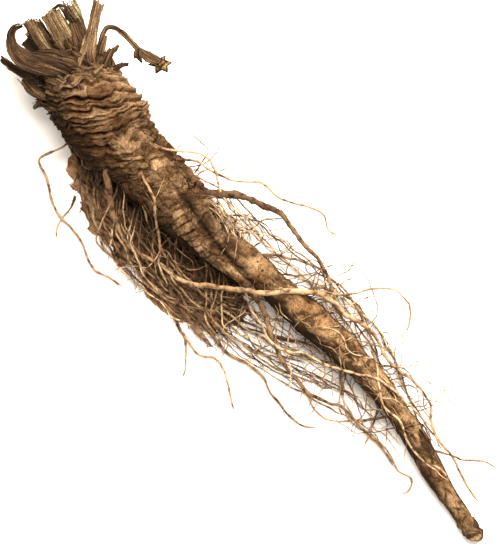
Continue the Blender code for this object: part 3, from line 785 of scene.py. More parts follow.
@dataclass
class Taproot:
    """The taproot's skin: the source's own form, with its wrinkles at their true fineness."""

    stations: tuple[Row, ...] = (  # along, across, height, radius
        (-84, 1, 11.2, 3.2), (-82.5, 1, 11, 6.6), (-80, 0.8, 10.8, 9.2), (-76, 0.2, 10.7, 10.7),
        (-70, -0.9, 10.8, 11.6), (-64, -0.8, 10.6, 11.2), (-58, -0.8, 10.1, 10.7), (-54, -1.7, 9.6, 9.7),
        (-48, -1.3, 9.3, 8.9), (-40, -1.3, 8.9, 8.2), (-30, -0.9, 8.5, 7.5), (-20, -0.8, 7.9, 6.7),
        (-12, 0.2, 7.2, 5.7), (-5, 1.6, 6.7, 5), (0, 2.4, 6.1, 4.3), (8, 3.5, 6, 4.4), (15, 4.2, 6.1, 4.7),
        (24, 5.1, 5.6, 4.2), (35, 5.8, 5, 4), (45, 5.3, 4.5, 3.6), (55, 3.9, 4, 3.4), (65, 2.1, 3.3, 2.9),
        (75, 0.2, 2.5, 2.4), (82, -0.9, 2, 2.2), (86, -1.5, 1.9, 2.1), (89, -1.5, 1.9, 1.6),
        (90.2, -1.4, 1.9, 0.5),
    )
    upward: float = 0.45  # how much closer the corners lie on the side that is seen from above
    highest: float = 23.59  # no part of the skin stands higher over the floor
    fold_pitch: float = 3.7
    sheet_pitch: float = 1.75
    fold_depth: float = 1.7
    fold_zone: Zone = (-82.0, -77.0, -58.0, -50.0)
    block_zone: Zone = (-62.0, -52.0, -22.0, -2.0)
    neck_slant: float = 0.75  # how far the folds lean towards the tip for each millimetre across
    body_slant: float = 0.45
    lip: tuple[float, float] = (-57.0, 1.3)  # where the neck ends in an overhanging edge, and its height
    plates_round_neck: int = 8
    plate_pitch: float = 1.9
    plates_round_body: int = 8
    block_pitch: float = 2.9
    ledge_pitch: float = 3.1
    waves: tuple[Row, ...] = (
        (0.9, 2, 0.6, 0), (0.6, 3, 2, 0.15), (0.35, 5, 0, 0.4),
    )
    leans: tuple[Row, ...] = ((0.05, 2, 0.0, 0.11), (0.03, 3, 0.0, -0.2))
    knobs: tuple[Row, ...] = (  # along, turn in degrees, radius, height
        (-58, 20, 4, 1.3), (-52.5, 95, 4.5, 0.9), (-43, 70, 5, 0.9), (-50, 150, 4, 0.8), (-66, 165, 4.5, 1),
        (-4, 80, 5.5, 0.9), (14, 50, 6, 0.7), (27, 60, 5, 0.5), (37, 75, 5, 0.5), (83.5, 60, 2.2, 0.5),
        (87, 150, 1.6, 0.5), (-62, 250, 5, 0.9), (-33, 215, 6, 0.8), (-22, 12, 7.5, -2.2),
        (-59, 215, 4.5, 1.2), (-50, 215, 6, -1.6), (-55.2, 134, 2, 1.4), (-54, 150, 1.8, 1.1),
        (-47.6, 97, 1.3, 0.7), (-57, 140, 1.8, 1.1), (-56, 163, 1.6, 1), (-58.5, 102, 1.5, 0.9),
        (-60.5, 118, 1.7, 0.8), (-55, 113, 1.4, 0.8), (-43.5, 62, 2.2, 0.7), (-49, 62, 2, 0.6),
        (87, 70, 1.2, 0.4),
    )
    groove: tuple[Row, ...] = (  # along, turn in degrees: the valley behind the front side root
        (-38, 72), (-30, 78), (-24, 88), (-18, 95), (-12, 104), (-4, 114),
    )
    groove_depth: float = 1.2
    smooth_bosses: tuple[Row, ...] = (  # along, turn in degrees, radius: worn smooth
        (-54, 92, 2.6), (-43.5, 70, 2), (-5, 70, 4), (15, 55, 4), (-57.5, 100, 1.4),
    )
    soiled_flanks: tuple[tuple[float, float, Zone], ...] = (  # turn, spread, zone
        (0.5, 0.34, (-57, -50, -40, -28)), (1.15, 0.38, (-36, -30, -16, -8)),
    )
    noise: Noise = field(default_factory=lambda: Noise(3))

    def axis_at(self, along: Any) -> tuple[np.ndarray, np.ndarray, np.ndarray]:
        """Reads the axis.

        Args:
            along: Places along the root.

        Returns:
            Across, height and radius at each place.
        """
        rows = smooth_route(self.stations, 12 * len(self.stations))
        across, height, radius = (np.interp(along, rows[:, 0], rows[:, i]) for i in (1, 2, 3))
        return across, height, radius

    def big_relief(self, spots: Spots) -> np.ndarray:
        """Height that the knobs, the valley, the neck's lip and the root's lean add, in millimetres."""
        height = lobed(self.leans, spots.along, spots.turn) * spots.radius
        for knob_along, knob_turn, knob_radius, knob_height in self.knobs:
            ahead, aside = spots.offset(knob_along, knob_turn)
            height = height + knob_height * np.exp(-1.5 * ((ahead**2 + aside**2) / knob_radius**2))
        height = height - self.groove_depth * self.valley(spots)
        edge = self.lip[0] + 1.6 * self.noise.at(4.0 * spots.turn, 0.5)
        near_side = bell(2.5, 0.8, spots.turn) * smoothstep(-68.0, -60.0, spots.along)
        return height + self.lip[1] * near_side * (1 - smoothstep(edge, edge + 0.9, spots.along))

    def valley(self, spots: Spots) -> np.ndarray:
        """How deep in the valley behind the front side root each place lies, from 0 to 1."""
        places, turns = zip(*self.groove)
        arc = (spots.turn - np.radians(np.interp(spots.along, places, turns))) * spots.radius
        return bell(0.0, 0.9, arc) * within((-39.0, -34.0, -10.0, -4.0), spots.along)

    def worn(self, spots: Spots) -> np.ndarray:
        """How smooth a boss is worn at each place, from 0 to 1."""
        share = np.zeros(np.broadcast(spots.along, spots.turn).shape)
        for boss_along, boss_turn, boss_radius in self.smooth_bosses:
            away = np.hypot(*spots.offset(boss_along, boss_turn)) / boss_radius
            share = np.maximum(share, 1 - smoothstep(0.55, 1.15, away))
        return share

    def slanted(self, spots: Spots) -> np.ndarray:
        """Place along the root as the folds count it: they lean, wave and wander round the neck."""
        along, (y, z) = spots.along, spots.section()
        slant = self.neck_slant + (self.body_slant - self.neck_slant) * smoothstep(-64.0, -50.0, along)
        wander = self.noise.rough(along / 6, y / 5, z / 5, 3)
        wander = wander + 0.95 * self.noise.at(along / 2.4, y / 1.8, z / 1.8)
        return along - slant * y + lobed(self.waves, along, spots.turn) + wander

    def creases(self, u: Any, v: Any, w: Any, width: float) -> np.ndarray:
        """Wandering, narrow creases between rounded backs.

        Args:
            u: First coordinate, in units of the creases' spacing.
            v: Second coordinate.
            w: Third coordinate.
            width: How wide a crease is, as a share of the spacing.

        Returns:
            0 in a crease and up to 1 on a back.
        """
        away = np.abs(self.noise.rough(u, v, w, 2))
        return 0.5 * np.clip(2 * away, 0, 1) ** 0.8 + 0.5 * (1 - np.exp(-((away / width) ** 2)))

    def folds(self, spots: Spots) -> tuple[np.ndarray, np.ndarray, np.ndarray]:
        """The neck's stacked plates and the deep creases between them.

        Args:
            spots: Places on the skin.

        Returns:
            Height in millimetres, nearness to a crest from 0 to 1, and each plate's tone.
        """
        place = self.slanted(spots)
        along, (y, z) = spots.along, spots.section()
        fold = tiled(place / self.fold_pitch)
        sheet = tiled(place / self.sheet_pitch + 0.35 * self.noise.rough(along / 3, y / 3, z / 3, 2))
        strong = smoothstep(-0.35, 0.3, self.noise.rough(place / 3 + 20, y / 4, z / 4, 2))
        wrinkle = self.creases(place / 0.9 + 30, y / 3, z / 3, 0.16)
        cells = plates_at(
            place / self.plate_pitch,
            spots.turn / TURN * self.plates_round_neck + 0.35 * self.noise.at(along / 3, y / 3, z / 3),
            self.plates_round_neck,
            17,
        )
        ripple = self.noise.rough(along / 0.55 + 5, y / 1.5, z / 1.5, 2)
        height = 0.58 * (fold - 0.55) + 0.5 * strong * (sheet - 0.55) + 0.2 * (wrinkle - 0.7)
        height = height + 0.26 * cells.height + 0.34 * cells.lean
        open_sheet = 1 - strong * (1 - smoothstep(0.05, 0.5, sheet))
        crest = -0.36 + 0.5 * smoothstep(0.05, 0.5, fold) + 0.46 * open_sheet + 0.36 * wrinkle
        crest = crest + 0.16 * cells.lean + 0.14 * ripple
        return self.fold_depth * height + 0.1 * ripple, np.clip(crest, 0, 1), cells.tone

    def blocks(self, spots: Spots) -> tuple[np.ndarray, np.ndarray, np.ndarray]:
        """The body's coarser blocks and the cracks across it.

        Args:
            spots: Places on the skin.

        Returns:
            Height in millimetres, nearness to a crest from 0 to 1, and each block's tone.
        """
        place = self.slanted(spots)
        along, (y, z) = spots.along, spots.section()
        ledge = tiled(place / self.ledge_pitch + 0.4 * self.noise.rough(along / 5, y / 4, z / 4, 2))
        strong = smoothstep(-0.4, 0.25, self.noise.rough(place / 5 + 33, y / 4, z / 4, 2))
        crack = self.creases(place / 2.8 + 50, y / 6, z / 6, 0.08)
        wrinkle = self.creases(place / 1.1 + 70, y / 2.6, z / 2.6, 0.12)
        cells = plates_at(
            place / self.block_pitch,
            spots.turn / TURN * self.plates_round_body + 0.4 * self.noise.rough(along / 4, y / 3, z / 3, 2),
            self.plates_round_body,
            29,
        )
        height = 1.0 * strong * (ledge - 0.55) + 0.5 * (crack - 0.75) + 0.3 * (wrinkle - 0.7)
        height = height + 0.35 * cells.height + 0.45 * cells.lean
        open_ledge = 1 - strong * (1 - smoothstep(0.05, 0.4, ledge))
        crest = -0.42 + 0.5 * open_ledge + 0.44 * crack + 0.44 * wrinkle + 0.25 * cells.lean
        return height, np.clip(crest, 0, 1), cells.tone

    def bark(self, spots: Spots) -> tuple[np.ndarray, np.ndarray]:
        """The bark's own texture all over: lumps, lengthwise wrinkles, cross cracks and pits.

        Args:
            spots: Places on the skin.

        Returns:
            Height in millimetres, and nearness to a crest from 0 to 1.
        """
        along, (y, z) = spots.along, spots.section()
        lumps = self.noise.rough(along / 6 + 40, y / 4, z / 4, 3)
        lengthwise = 1 - np.abs(self.noise.rough(along / 7 + 60, y / 1.2, z / 1.2, 2))
        crosswise = self.creases(along / 1.9 + 80, y / 5, z / 5, 0.07)
        pits = smoothstep(0.45, 0.8, self.noise.at(along / 1.5 + 11, y / 1.5, z / 1.5))
        toward_tip = smoothstep(-20.0, 50.0, along)
        size = 0.35 + 0.65 * np.clip(spots.radius / 8, 0, 1)
        height = size * (0.6 * lumps + 0.24 * (crosswise - 0.8) * (1 - 0.6 * toward_tip))
        pits = 0.5 * pits * (1 - toward_tip)
        height = height + 0.16 * (lengthwise - 0.7) * (0.4 + toward_tip) - 0.2 * size * pits
        lines = self.creases(along / 7 + 90, y / 2.2, z / 2.2, 0.035)
        crest = 0.7 + 0.16 * lumps + 0.3 * (crosswise - 0.8) + 0.2 * (lengthwise - 0.75) - 0.2 * pits
        nubs = self.noise.rough(along / 1.3, y / 1.1, z / 1.1, 2) * smoothstep(78.0, 86.0, along)
        height = height + 0.3 * (lines - 0.85) * size + 0.6 * nubs
        crest = crest + (0.5 + 0.5 * toward_tip) * (lines - 0.85) + 0.5 * np.minimum(nubs, 0)
        return height, np.clip(crest, 0, 1)

    def surface(self, along: np.ndarray, turn: np.ndarray) -> tuple[np.ndarray, dict[str, np.ndarray]]:
        """Points of the finished skin.

        Args:
            along: Places along the root.
            turn: Angles round it.

        Returns:
            The points, and the crest, tone, soil, pale and stained value of each.
        """
        across, height, radius = self.axis_at(along)
        spots = Spots(along, turn, radius)
        folded, blocked = within(self.fold_zone, along), within(self.block_zone, along)
        smooth = 1 - 0.8 * self.worn(spots)
        fold, fold_crest, fold_tone = self.folds(spots)
        block, block_crest, block_tone = self.blocks(spots)
        bark, bark_crest = self.bark(spots)
        fine = folded * fold + blocked * block + (1 - 0.8 * folded) * bark
        out = radius + (self.big_relief(spots) + smooth * fine) * smoothstep(0.2, 1.5, radius)
        y, z = across + out * np.cos(turn), np.clip(height + out * np.sin(turn), 0.0, self.highest)
        plain = 1 - 0.6 * blocked
        crest = folded * fold_crest + (1 - folded) * (0.6 * blocked * block_crest + plain * bark_crest)
        crest = 1 - (1 - crest) * smooth
        tone = folded * fold_tone + (1 - folded) * (blocked * block_tone + (1 - blocked) * 0.5)
        grit = self.noise.rough(along / 3, y / 2.5, z / 2.5, 3)
        flank = sum(
            bell(middle, spread, turn) * within(zone, along) for middle, spread, zone in self.soiled_flanks
        )
        # Painted shade: the underside and the neck's flank away from the light are darkened, and the
        # underside also takes the soil colour
        shaded_underside = bell(3.1, 0.9, turn) * within((-90.0, -76.0, 60.0, 95.0), along)
        shaded_neck_side = bell(2.85, 0.65, turn) * (1 - smoothstep(-62.0, -50.0, along))
        crest = crest * (1 - 0.6 * shaded_underside) * (1 - 0.6 * shaded_neck_side)
        rim = 0.45 * (1 - smoothstep(-80.0, -70.0, along)) * smoothstep(-0.3, 0.5, grit)
        soil = 0.6 * smoothstep(0.2, 0.75, flank + 0.7 * grit * flank) + 0.7 * shaded_underside + rim
        # Painted shade added to the soil value: the lower flank behind the front side root, the lower side
        # towards the tip, and the groove behind the front side root
        shade = 0.55 * smoothstep(2.2, 2.7, turn) * within((-36.0, -28.0, -6.0, 2.0), along)
        slim = smoothstep(-6.0, 4.0, along)
        shaded_low_side = smoothstep(2.0, 2.6, turn + 0.4 * self.noise.rough(along / 4, y / 3, z / 3, 3))
        soil = np.clip(soil + 0.8 * self.valley(spots) + shade + 0.6 * slim * shaded_low_side, 0, 0.96)
        # Paler on the high crests of the body: partly painted highlight and partly wear
        light = smoothstep(-40.0, -2.0, along) * smoothstep(0.5, 0.85, crest)
        worn_patch = smoothstep(0.02, 0.14, self.noise.rough(along / 8 + 5, y / 4, z / 4, 4)) * slim
        pale = 0.3 * light + 0.3 * smoothstep(60.0, 88.0, along) + 0.35 * (1 - smooth) + 0.7 * worn_patch
        pale = np.clip(pale, 0, 1)
        values = {"crest": crest, "tone": tone, "soil": soil, "pale": pale, "stained": 0.3 + 0.5 * slim}
        return np.stack([along, y, z], axis=-1), values

    def skin(self, name: str, ends: tuple[float, ...], rings: tuple[int, ...], sides: int) -> None:
        """Builds a length of the skin in one closed mesh.

        Args:
            name: The piece's name.
            ends: Where its stretches begin and end along the root.
            rings: How many rings each stretch has.
            sides: How many corners a ring has.
        """
        stretches = [np.linspace(a, b, count, endpoint=False) for a, b, count in zip(ends, ends[1:], rings)]
        even = np.linspace(0, TURN, sides, endpoint=False)
        places = np.append(np.concatenate(stretches), ends[-1])
        along, turn = np.meshgrid(places, even + self.upward * np.cos(even), indexing="ij")
        points, values = self.surface(along, turn)
        caps = np.array([points[0].mean(axis=0), points[-1].mean(axis=0)])
        shape = Shape()
        shape.add(
            np.vstack([points.reshape(-1, 3), caps]),
            ring_faces(len(points), sides),
            **{key: np.append(value.ravel(), [0.3, 0.5]) for key, value in values.items()},
        )
        shape.build(name, BARK.material(), Slot.BARK, "taproot")

    def build(self) -> None:
        """Builds the skin in two lengths, the neck's finer than the body's."""
        first, last = self.stations[0][0], self.stations[-1][0]
        self.skin("neck_skin", (first, -44.0), (262,), 300)
        self.skin("body_skin", (-44.2, 0.0, last), (220, 180), 220)


@dataclass(frozen=True)
class Strand:
    """One rootlet: close points with a radius each, and its tone from dark to light."""

    rows: np.ndarray
    tone: float
    shade_near_body: np.ndarray  # how dark the painted shade near the body's underside makes each point, from 0 to 1

    def add_to(self, shape: Shape, sides: int, noise: Noise) -> None:
        """Adds the rootlet's tube to a shape.

        Args:
            shape: The shape.
            sides: How many sides the tube has.
            noise: What makes it swell and fade along its length.
        """
        path = self.rows[:, :3]
        _, side, lift = frames_along(path)
        along = lengths_along(path)
        key = 13.7 * self.tone + path[0, 0]
        swell = 1 + 0.16 * noise.rough(along / 1.7, key, 0.0, 2)
        turn = np.linspace(0, TURN, sides, endpoint=False)
        ring = np.stack([np.cos(turn), np.sin(turn)], axis=-1)
        across, upward = 0.9 * ring[None, :, 0], 0.9 * ring[None, :, 1]
        rough = 1 + 0.17 * noise.rough(along[:, None] / 0.9, key + across, upward, 2)
        outlines = (self.rows[:, 3] * swell)[:, None, None] * rough[..., None] * ring[None]
        shaded = self.tone + 0.14 * noise.at(along / 5, key, 4.0)
        # Painted shade: each rootlet is darker over its first 9 mm, where it leaves the root
        shaded = shaded * (0.45 + 0.55 * smoothstep(0.0, 9.0, along))
        stout = smoothstep(0.74, 1.0, self.rows[:, 3])
        shaded = shaded * (1 - 0.75 * self.shade_near_body) * (1 - 0.5 * stout)
        tone = np.repeat(np.clip(shaded, 0, 1), sides)
        shape.add(
            sweep(path, outlines, side, lift),
            ring_faces(len(path), sides),
            tone=np.concatenate([tone, tone[[0, -1]]]),
        )


@dataclass(frozen=True)
class Corridor:
    """Where a mass of rootlets runs beside the taproot."""

    side: int
    along: tuple[float, ...]
    inner: tuple[float, ...]
    outer: tuple[float, ...]

    def lane(self, along: Any, share: Any) -> Any:
        """Across at a place along the root, for a lane from 0 at the inner edge to 1 at the outer."""
        inner, outer = (np.interp(along, self.along, edge) for edge in (self.inner, self.outer))
        return inner + (outer - inner) * share


LOWER = Corridor(
    -1,
    (-65, -60, -50, -40, -30, -20, -10, 0, 10, 20, 30, 40, 50),
    (-11, -11, -10.5, -10, -9.5, -8.5, -6.5, -4, -3.5, -2, 0, 1, 1),
    (-14, -18, -24, -26, -27, -26, -24.5, -20, -17, -13, -11, -8, -5),
)
UPPER = Corridor(
    1,
    (-50, -40, -30, -20, -10, 0, 10, 20, 30, 40, 50, 60),
    (7, 6.5, 6, 5.5, 6, 7, 8, 9, 9.5, 9, 8.5, 7),
    (9, 12, 13, 19, 22, 19, 18, 18, 18, 17, 13, 10),
)


# Side roots and long rootlets, each (along, across, height, radius) from where it leaves the root
SIDE_ROOTS: dict[str, list[Row]] = {
    "front_ridge": [
        (-39, -1.8, 11, 2.6), (-34, -2.8, 12.2, 3.6), (-28, -3.4, 12.4, 3.6), (-22, -3.6, 11.7, 3),
        (-16, -3.7, 10.9, 2.3), (-10, -3, 10.3, 1.6), (-5, -2.3, 9.9, 1.25), (0, -2.8, 8.8, 1.05),
        (6, -4.4, 7, 0.9), (13, -7.4, 4.9, 0.75), (20, -9.2, 3.3, 0.65), (28, -9.3, 2.4, 0.6),
        (34, -7.5, 2, 0.55), (39, -5.2, 1.8, 0.5), (46, -5.3, 1.5, 0.45), (54, -4.8, 1.2, 0.4),
        (59, -5.2, 1, 0.35),
    ],
    "long_lateral": [
        (-55.5, -5.6, 12.4, 1.2), (-53, -8.8, 13.6, 1.2), (-50, -11.5, 12.2, 1.15), (-45, -14.8, 9.2, 1.05),
        (-38, -18.2, 6, 0.9), (-30, -18.6, 4.6, 0.75), (-26, -16.6, 5, 0.7), (-20, -15.5, 5.8, 0.7),
        (-15.5, -14, 7.2, 0.7), (-9, -8.8, 9.8, 0.75), (-3, -3.3, 12.2, 0.8), (0.5, -0.6, 12.3, 0.85),
        (5, 5, 11.9, 0.85), (10, 9.9, 9.4, 0.8), (15, 11.6, 8, 0.75), (20, 12.3, 7, 0.75),
        (25, 14, 6.4, 0.7), (31, 14, 5.8, 0.6), (37, 12.4, 5, 0.55), (45, 13.7, 4.2, 0.5),
        (53, 13.2, 3.6, 0.45), (57, 10.2, 3.4, 0.45), (62, 8.4, 3.4, 0.45), (69, 7.8, 2.8, 0.4),
        (76, 5.5, 1.8, 0.4), (83, 5.2, 1.2, 0.35),
    ],
    "upper_lateral": [
        (-33, 3.5, 9.6, 1.5), (-27, 8.5, 9, 1.3), (-23.5, 12, 8.4, 1.1), (-18, 14.9, 8.2, 1),
        (-13, 17.4, 8, 0.85), (-7, 17, 7.2, 0.75), (0, 16.5, 6.2, 0.7), (6, 16.6, 5.2, 0.6),
        (11, 14.7, 4.4, 0.5), (16, 12.2, 3.8, 0.45), (22, 10.2, 3, 0.4),
    ],
    "far_loop": [
        (-66, -9, 8, 0.45), (-65, -14, 6, 0.4), (-66.7, -19, 3.6, 0.4), (-66.6, -22, 2.2, 0.4),
        (-62, -23.5, 1.4, 0.4), (-57, -26.2, 1, 0.4), (-52, -27.6, 0.8, 0.4), (-44, -27.9, 0.8, 0.4),
        (-36, -30.3, 0.8, 0.4), (-30, -28.8, 1.4, 0.4), (-25, -27.4, 1.8, 0.35),
    ],
    "neck_strand": [
        (-54, -8, 8, 0.5), (-52, -12, 7.6, 0.45), (-49, -17.5, 5, 0.45), (-45, -21.5, 2.8, 0.4),
        (-41, -22.8, 1.8, 0.4), (-37, -24.8, 1.2, 0.4), (-32, -23.4, 1.4, 0.4), (-26, -20.6, 2.6, 0.35),
        (-18, -19.6, 3.2, 0.35),
    ],
    "front_strand": [
        (-47, -2.4, 16, 0.5), (-43, -3.9, 17.6, 0.45), (-38, -4.9, 16.8, 0.45), (-34, -8, 14.6, 0.4),
        (-30, -11, 11.5, 0.4), (-26, -14.2, 8.6, 0.4), (-24, -16.5, 6.4, 0.35), (-18, -18.5, 4.4, 0.35),
    ],
    "upper_strand": [
        (-49, 4, 15, 0.5), (-45, 6.2, 14.9, 0.45), (-41, 10.3, 13.4, 0.4), (-37, 12.7, 12.2, 0.4),
        (-33, 12, 10.8, 0.4), (-29, 10.1, 10, 0.4), (-24, 8.6, 9.4, 0.35), (-16, 9.6, 7, 0.35),
        (-8, 8.2, 5, 0.35),
    ],
    "upper_strand_two": [
        (-42, 6, 12, 0.5), (-38, 9.9, 11, 0.4), (-33, 10.9, 10.2, 0.4), (-28, 13.2, 9, 0.4),
        (-25, 16, 8.4, 0.4), (-22, 18.9, 7.8, 0.4), (-17, 19.7, 7, 0.4), (-12, 22, 6, 0.35),
        (-8, 24.4, 5.2, 0.35), (-4, 25.7, 4.4, 0.35), (0, 24.4, 3.6, 0.35), (4, 25.6, 2.6, 0.35),
    ],
    "high_loop": [
        (8, 8, 8, 0.6), (12, 12.2, 7.8, 0.45), (17, 17, 6.6, 0.4), (19.5, 21.8, 5.4, 0.4),
        (23, 26, 4.4, 0.35), (28, 27, 3.4, 0.35), (31.5, 25.4, 2.6, 0.35), (35, 20.8, 1.6, 0.35),
    ],
    "crossing_strand": [
        (-6, -2.6, 9.8, 0.5), (0, -5, 9.4, 0.4), (6, -6.7, 8, 0.4), (12, -7.6, 6.8, 0.4),
        (17, -5.8, 6.4, 0.4), (21, -2.6, 7, 0.4), (27, -0.7, 7.8, 0.4), (32, 2.4, 9.2, 0.4),
        (38, 6.4, 9.7, 0.4), (44, 8.5, 8.6, 0.4), (50, 8.4, 7, 0.35), (58, 8.9, 5, 0.35),
        (65, 6.4, 3.6, 0.35),
    ],
    "over_strand": [
        (32, 10.8, 6.4, 0.35), (36, 9.2, 9, 0.35), (40, 6.2, 9.4, 0.35), (45, 3.2, 8.6, 0.35),
        (51, 3.6, 8.1, 0.35), (57, 1.6, 7, 0.35), (63, 1.4, 6, 0.35), (68, 3, 5.6, 0.35),
        (72, 3.2, 3.6, 0.35),
    ],
    "lower_strand": [
        (29, 2, 4, 0.45), (33, -1.4, 3, 0.35), (38, -4.4, 2.8, 0.35), (47, -5, 2.2, 0.35),
        (54, -4, 1.8, 0.35), (61, -5.6, 1.3, 0.35), (65, -4.4, 1.3, 0.35), (67, -7.6, 0.8, 0.35),
        (65.6, -10, 0.6, 0.35),
    ],
    "lower_arc": [
        (48, 2, 3, 0.45), (46, -1.8, 2.4, 0.4), (43, -5, 1.8, 0.4), (40, -9, 1.2, 0.35),
        (36, -11.4, 0.9, 0.35), (30, -10.6, 1, 0.35), (24, -9.6, 1.9, 0.35),
    ],
    "lower_spur": [
        (45, 1.5, 2.6, 0.45), (47.5, -3, 1.8, 0.35), (50.5, -9.2, 0.7, 0.35),
    ],
    "tip_spray": [
        (63, 5, 3.6, 0.35), (68, 8, 3.4, 0.35), (71.5, 10.4, 2.4, 0.35), (75, 13.4, 1.6, 0.35),
        (79, 14.8, 1, 0.35),
    ],
    "mass_tail": [
        (-32, -18.6, 4.9, 0.5), (-26, -19.8, 2.8, 0.5), (-18, -19.8, 1.6, 0.6), (-10, -18.2, 1.2, 0.6),
        (-2, -18.4, 1, 0.6), (6, -18.4, 1, 0.6), (12, -16.3, 1, 0.5), (18, -16, 0.9, 0.45),
        (24, -17.4, 0.8, 0.4), (33, -17.1, 0.8, 0.35), (38, -13.8, 0.7, 0.35),
    ],
    "mass_fork": [
        (-33, -23.8, 1.3, 0.45), (-26, -23.6, 1.2, 0.45), (-20, -22.6, 1.2, 0.45), (-12, -22.8, 1, 0.45),
        (-4, -24.2, 0.8, 0.4), (1, -24.8, 0.8, 0.4), (5, -22.4, 0.8, 0.4), (10, -22.9, 0.7, 0.4),
        (16, -26.2, 0.6, 0.35), (20, -28, 0.6, 0.35),
    ],
    "mass_spur": [
        (-9, -23.4, 0.9, 0.4), (-3, -25.6, 0.8, 0.4), (0.5, -28.6, 0.7, 0.35), (3.8, -33.2, 0.6, 0.35),
    ],
    "blunt_root": [
        (-14, -19.6, 2.2, 0.6), (-8, -20.3, 1.8, 0.75), (-3, -20.8, 1.5, 0.8), (1, -20.6, 1.2, 0.6),
        (3.4, -20.2, 1, 0.35),
    ],
    "neck_spur": [
        (-53, -20.8, 1.9, 0.4), (-51.6, -24, 1.3, 0.35), (-51, -28, 0.9, 0.35), (-49.5, -31, 0.7, 0.35),
        (-47.3, -33.2, 0.6, 0.35),
    ],
}
TONES = {  # from dark to light, where it isn't the usual tone
    "upper_lateral": 0.5,
    "front_strand": 0.75,
    "upper_strand": 0.9,
    "crossing_strand": 0.85,
    "over_strand": 0.85,
    "mass_tail": 0.5,
    "blunt_root": 0.45,
    "front_ridge": 0.55,
}
RIDGE_STATIONS = 8  # the banded part of front_ridge ends here, and a plain strand goes on
USUAL_TONE = 0.72


@dataclass(frozen=True)
class Brood:
    """Rootlets of one kind: how many, and the ranges of their start along the root, length and radius."""

    count: int
    start: tuple[float, float]
    length: tuple[float, float]
    radius: tuple[float, float]


